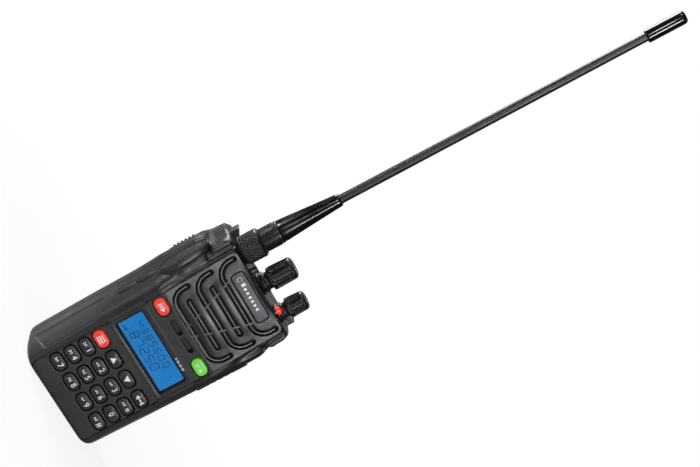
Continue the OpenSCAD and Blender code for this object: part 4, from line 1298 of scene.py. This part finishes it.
lo, hi = box_mm("antenna_collar")
ax, ay = centre(lo, hi)
kr = (hi.x - lo.x) / 2
z0 = lo.z
SLEEVE_LO, SLEEVE_HI = box_mm("antenna_sleeve")
WHIP_LO, WHIP_HI = box_mm("antenna_whip")
CAP_LO, CAP_HI = box_mm("antenna_cap")
ka, kb = z0 + 1.6, z0 + 9.6


def antenna_piece(name, profile, n, mat, node, slot, degrees=40, wn=False, radius=None):
    v, f = lathe(profile, ax, ay, n, radius)
    make(name, v, f, mat, body="antenna", replaces=(node,), slot=slot, degrees=degrees, wn=wn)


def knurl(q, a, z):
    if z < ka or z > kb:
        return q
    u = a * 26 / (2 * math.pi) * 2
    w = (z - ka) / 1.05
    p = abs(((u + w) / 2) % 1 - 0.5) * 2
    r = abs(((u - w) / 2) % 1 - 0.5) * 2
    k = min(ramp(z, ka, ka + 0.3), 1 - ramp(z, kb - 0.3, kb))
    return q - 0.42 * k * max(1 - min(p, 1), 1 - min(r, 1)) ** 2.2


prof = [(kr - q, z0 + h) for q, h in (
    (1.7, 0.05), (0.8, 0.1), (0.55, 0.35), (0.55, 1.1), (0.3, 1.25), (0.05, 1.5))]
m = 64
for i in range(m + 1):
    prof.append((kr - 0.03, ka + (kb - ka) * i / m))
prof += [(kr - 0.05, kb + 0.1), (kr - 0.5, kb + 0.7), (5.6, kb + 1.35), (5.35, kb + 1.5)]
antenna_piece("antenna_grip", prof, 312, M["knob"], "antenna_collar", "knob_black", 60, False, knurl)
zs = kb + 1.4
prof = [(4.0, zs - 0.6), (5.15, zs - 0.2), (5.4, zs + 0.15), (5.45, zs + 0.8)]
prof += [(5.45, hi.z - 1.9), (5.3, hi.z - 1.5), (5.1, hi.z - 1.4), (5.1, hi.z - 1.1), (5.3, hi.z - 1.0),
         (5.3, hi.z - 0.3), (5.1, hi.z), (4.5, hi.z + 0.05)]
antenna_piece("antenna_neck", prof, 80, M["knob"], "antenna_collar", "knob_black", 35, True)
s0, s1 = SLEEVE_LO.z, SLEEVE_HI.z
prof = [(3.0, s0 - 0.2), (4.7, s0 + 0.02), (5.05, s0 + 0.35), (5.05, s0 + 1.2)]
for i in range(1, 25):
    t = i / 24
    prof.append((5.05 - 2.1 * (t ** 1.12) - 0.12 * math.sin(t * math.pi), s0 + 1.2 + (s1 - s0 - 2.0) * t))
prof += [(2.8, s1 - 0.45), (2.5, s1 - 0.1), (2.05, s1)]
antenna_piece("antenna_boot", prof, 96, M["sleeve"], "antenna_sleeve", "sleeve_black")
wr = (WHIP_HI.x - WHIP_LO.x) / 2
prof = []
m = 60
for i in range(m + 1):
    t = i / m
    prof.append((wr - 0.02 - 0.12 * t, s1 - 3 + (CAP_LO.z + 4 - s1 + 3) * t))
antenna_piece("antenna_rod", prof, 48, M["whip"], "antenna_whip", "whip_black")
c0, c1 = CAP_LO.z, CAP_HI.z
cr = (CAP_HI.x - CAP_LO.x) / 2
prof = [(1.9, c0 + 0.02), (cr - 0.5, c0 + 0.05), (cr - 0.12, c0 + 0.35), (cr - 0.02, c0 + 0.9),
        (cr - 0.02, c1 - 2.0)]
for i in range(1, 11):
    a = math.pi / 2 * i / 10
    prof.append((cr - 0.02 - 1.3 * (1 - math.cos(a)), c1 - 2.0 + 1.9 * math.sin(a)))
prof += [(0.9, c1 - 0.04), (0.05, c1 - 0.02)]
antenna_piece("antenna_tip", prof, 80, M["sleeve"], "antenna_cap", "sleeve_black")


# ---------------------------------------------------------------- the CAD nodes that stay

SKINS = {
    "display_panel": "lcd", "keypad_mat": "mat", "main_board": "board", "loudspeaker": "metal",
    "microphone": "metal", "antenna_socket": "brass", "channel_encoder": "metal",
    "volume_control": "metal", "talk_switch": "dark", "side_switches": "dark",
    "battery_contacts": "brass", "case_screws": "metal", "hinge_pin": "metal",
    "channel_shaft": "metal", "volume_shaft": "metal", "battery_cells": "cell", "battery_plate": "dark",
}
for node, key in SKINS.items():
    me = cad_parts[node].data
    me.materials.clear()
    me.materials.append(M[key])


# ---------------------------------------------------------------- stage, light and camera

def floor_material():
    """A pale floor that fades to plain white away from the radio, as the camera sees it."""
    m, nt, p = new_tree("studio_floor")
    p.inputs["Roughness"].default_value = 0.9
    p.inputs["Specular IOR Level"].default_value = 0.1
    pale = add_node(nt, "BsdfDiffuse", {"Color": (0.95, 0.95, 0.95, 1)})
    white = add_node(nt, "Emission", {"Color": (1, 1, 1, 1), "Strength": 1.0})
    place = add_node(nt, "NewGeometry")
    far = add_node(nt, "VectorMath", operation="LENGTH")
    wire(nt, place, "Position", far, 0)
    fade = add_node(nt, "MapRange", {"From Min": 0.02, "From Max": 0.3, "To Min": 0.85},
                    interpolation_type="SMOOTHSTEP")
    wire(nt, far, "Value", fade, "Value")
    tone = add_node(nt, "MapRange", {"From Min": 0.1, "From Max": 0.28, "To Min": 0.85, "To Max": 0.12})
    wire(nt, far, "Value", tone, "Value")
    wire(nt, tone, "Result", p, "Base Color")
    seen = add_node(nt, "MixShader")
    wire(nt, fade, "Result", seen, 0)
    wire(nt, pale, 0, seen, 1)
    wire(nt, white, 0, seen, 2)
    by_camera(nt, p, seen, nt.nodes["Material Output"])
    return m


def by_camera(nt, lit, seen, output):
    """Sends one shader to the camera and the other to everything else."""
    ray = add_node(nt, "LightPath")
    both = add_node(nt, "MixShader")
    wire(nt, ray, "Is Camera Ray", both, 0)
    wire(nt, lit, 0, both, 1)
    wire(nt, seen, 0, both, 2)
    wire(nt, both, 0, output, 0)


bpy.ops.mesh.primitive_circle_add(vertices=128, radius=12, fill_type="NGON", location=(0, 0, 0))
floor = bpy.context.object
floor.name = "studio_floor"
floor.data.materials.append(floor_material())
floor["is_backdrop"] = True


def studio_world(axis, low, high):
    """A pale room: bright from one side, dim from the other, white to the camera."""
    w = bpy.data.worlds.new("studio")
    bpy.context.scene.world = w
    w.use_nodes = True
    nt = w.node_tree
    room = nt.nodes["Background"]
    co = add_node(nt, "TexCoord")
    dot = add_node(nt, "VectorMath", {1: axis}, operation="DOT_PRODUCT")
    wire(nt, co, "Generated", dot, 0)
    level = add_node(nt, "MapRange", {"From Min": 0.0, "From Max": 0.95, "To Min": low, "To Max": high},
                     interpolation_type="SMOOTHSTEP")
    wire(nt, dot, "Value", level, "Value")
    wire(nt, level, "Result", room, "Strength")
    room.inputs["Color"].default_value = (1, 1, 1, 1)
    white = add_node(nt, "Background", {"Color": (1, 1, 1, 1)})
    by_camera(nt, room, white, nt.nodes["World Output"])


def area(name, loc, target, size, power, size_y=None):
    li = bpy.data.lights.new(name, "AREA")
    li.energy = power
    li.size = size
    if size_y:
        li.shape = "RECTANGLE"
        li.size_y = size_y
    ob = add_object(name, li)
    ob.location = loc
    ob.rotation_euler = (Vector(target) - Vector(loc)).to_track_quat("-Z", "Y").to_euler()


YAW, PITCH, ROLL = math.radians(-19.16), math.radians(5.67), math.radians(62.12)
# distance in metres, and the focal length and width of the picture in pixels
DIST, FOCAL, WIDTH_PX = 0.8439, 1891.5, 700
SENSOR = 36
out = Vector((math.sin(YAW) * math.cos(PITCH), -math.cos(YAW) * math.cos(PITCH), math.sin(PITCH)))
right = Vector((math.cos(YAW), math.sin(YAW), 0))
up = Vector((-math.sin(YAW) * math.sin(PITCH), math.cos(YAW) * math.sin(PITCH), math.cos(PITCH)))
aim = Vector((0, 0.0005, 0.060)) - right * 0.00021 + up * 0.08924
r2 = right * math.cos(ROLL) + up * math.sin(ROLL)
u2 = -right * math.sin(ROLL) + up * math.cos(ROLL)
studio_world(u2 * 0.5 - out * 0.86, 0.03, 0.5)
area("key_light", (-0.62, 0.66, 0.42), (0, 0, 0.08), 0.45, 8.5)
area("front_light", (0.33, -0.95, 0.33), (0, 0, 0.085), 0.16, 5, 0.3)
area("flank_light", (-0.52, -0.9, 0.33), (0, 0, 0.085), 0.14, 2.5, 0.2)
area("side_light", (-0.5, -0.15, 0.5), (-0.1, 0, 0.0), 0.2, 1.0)
area("rim_light", tuple((u2 - r2) * 0.62 + out * 0.32 + aim), (0, 0, 0.06), 0.3, 7)
cam = bpy.data.cameras.new("camera")
cam.sensor_width = SENSOR
cam.lens = FOCAL / WIDTH_PX * SENSOR
cam.clip_end = 50
cam_ob = add_object("camera", cam)
eye = aim + out * DIST
cam_ob.matrix_world = Matrix([(r2[i], u2[i], out[i], eye[i]) for i in range(3)] + [(0, 0, 0, 1)])
bpy.context.scene.camera = cam_ob
bpy.context.scene.view_settings.view_transform = "Standard"

lo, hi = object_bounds()
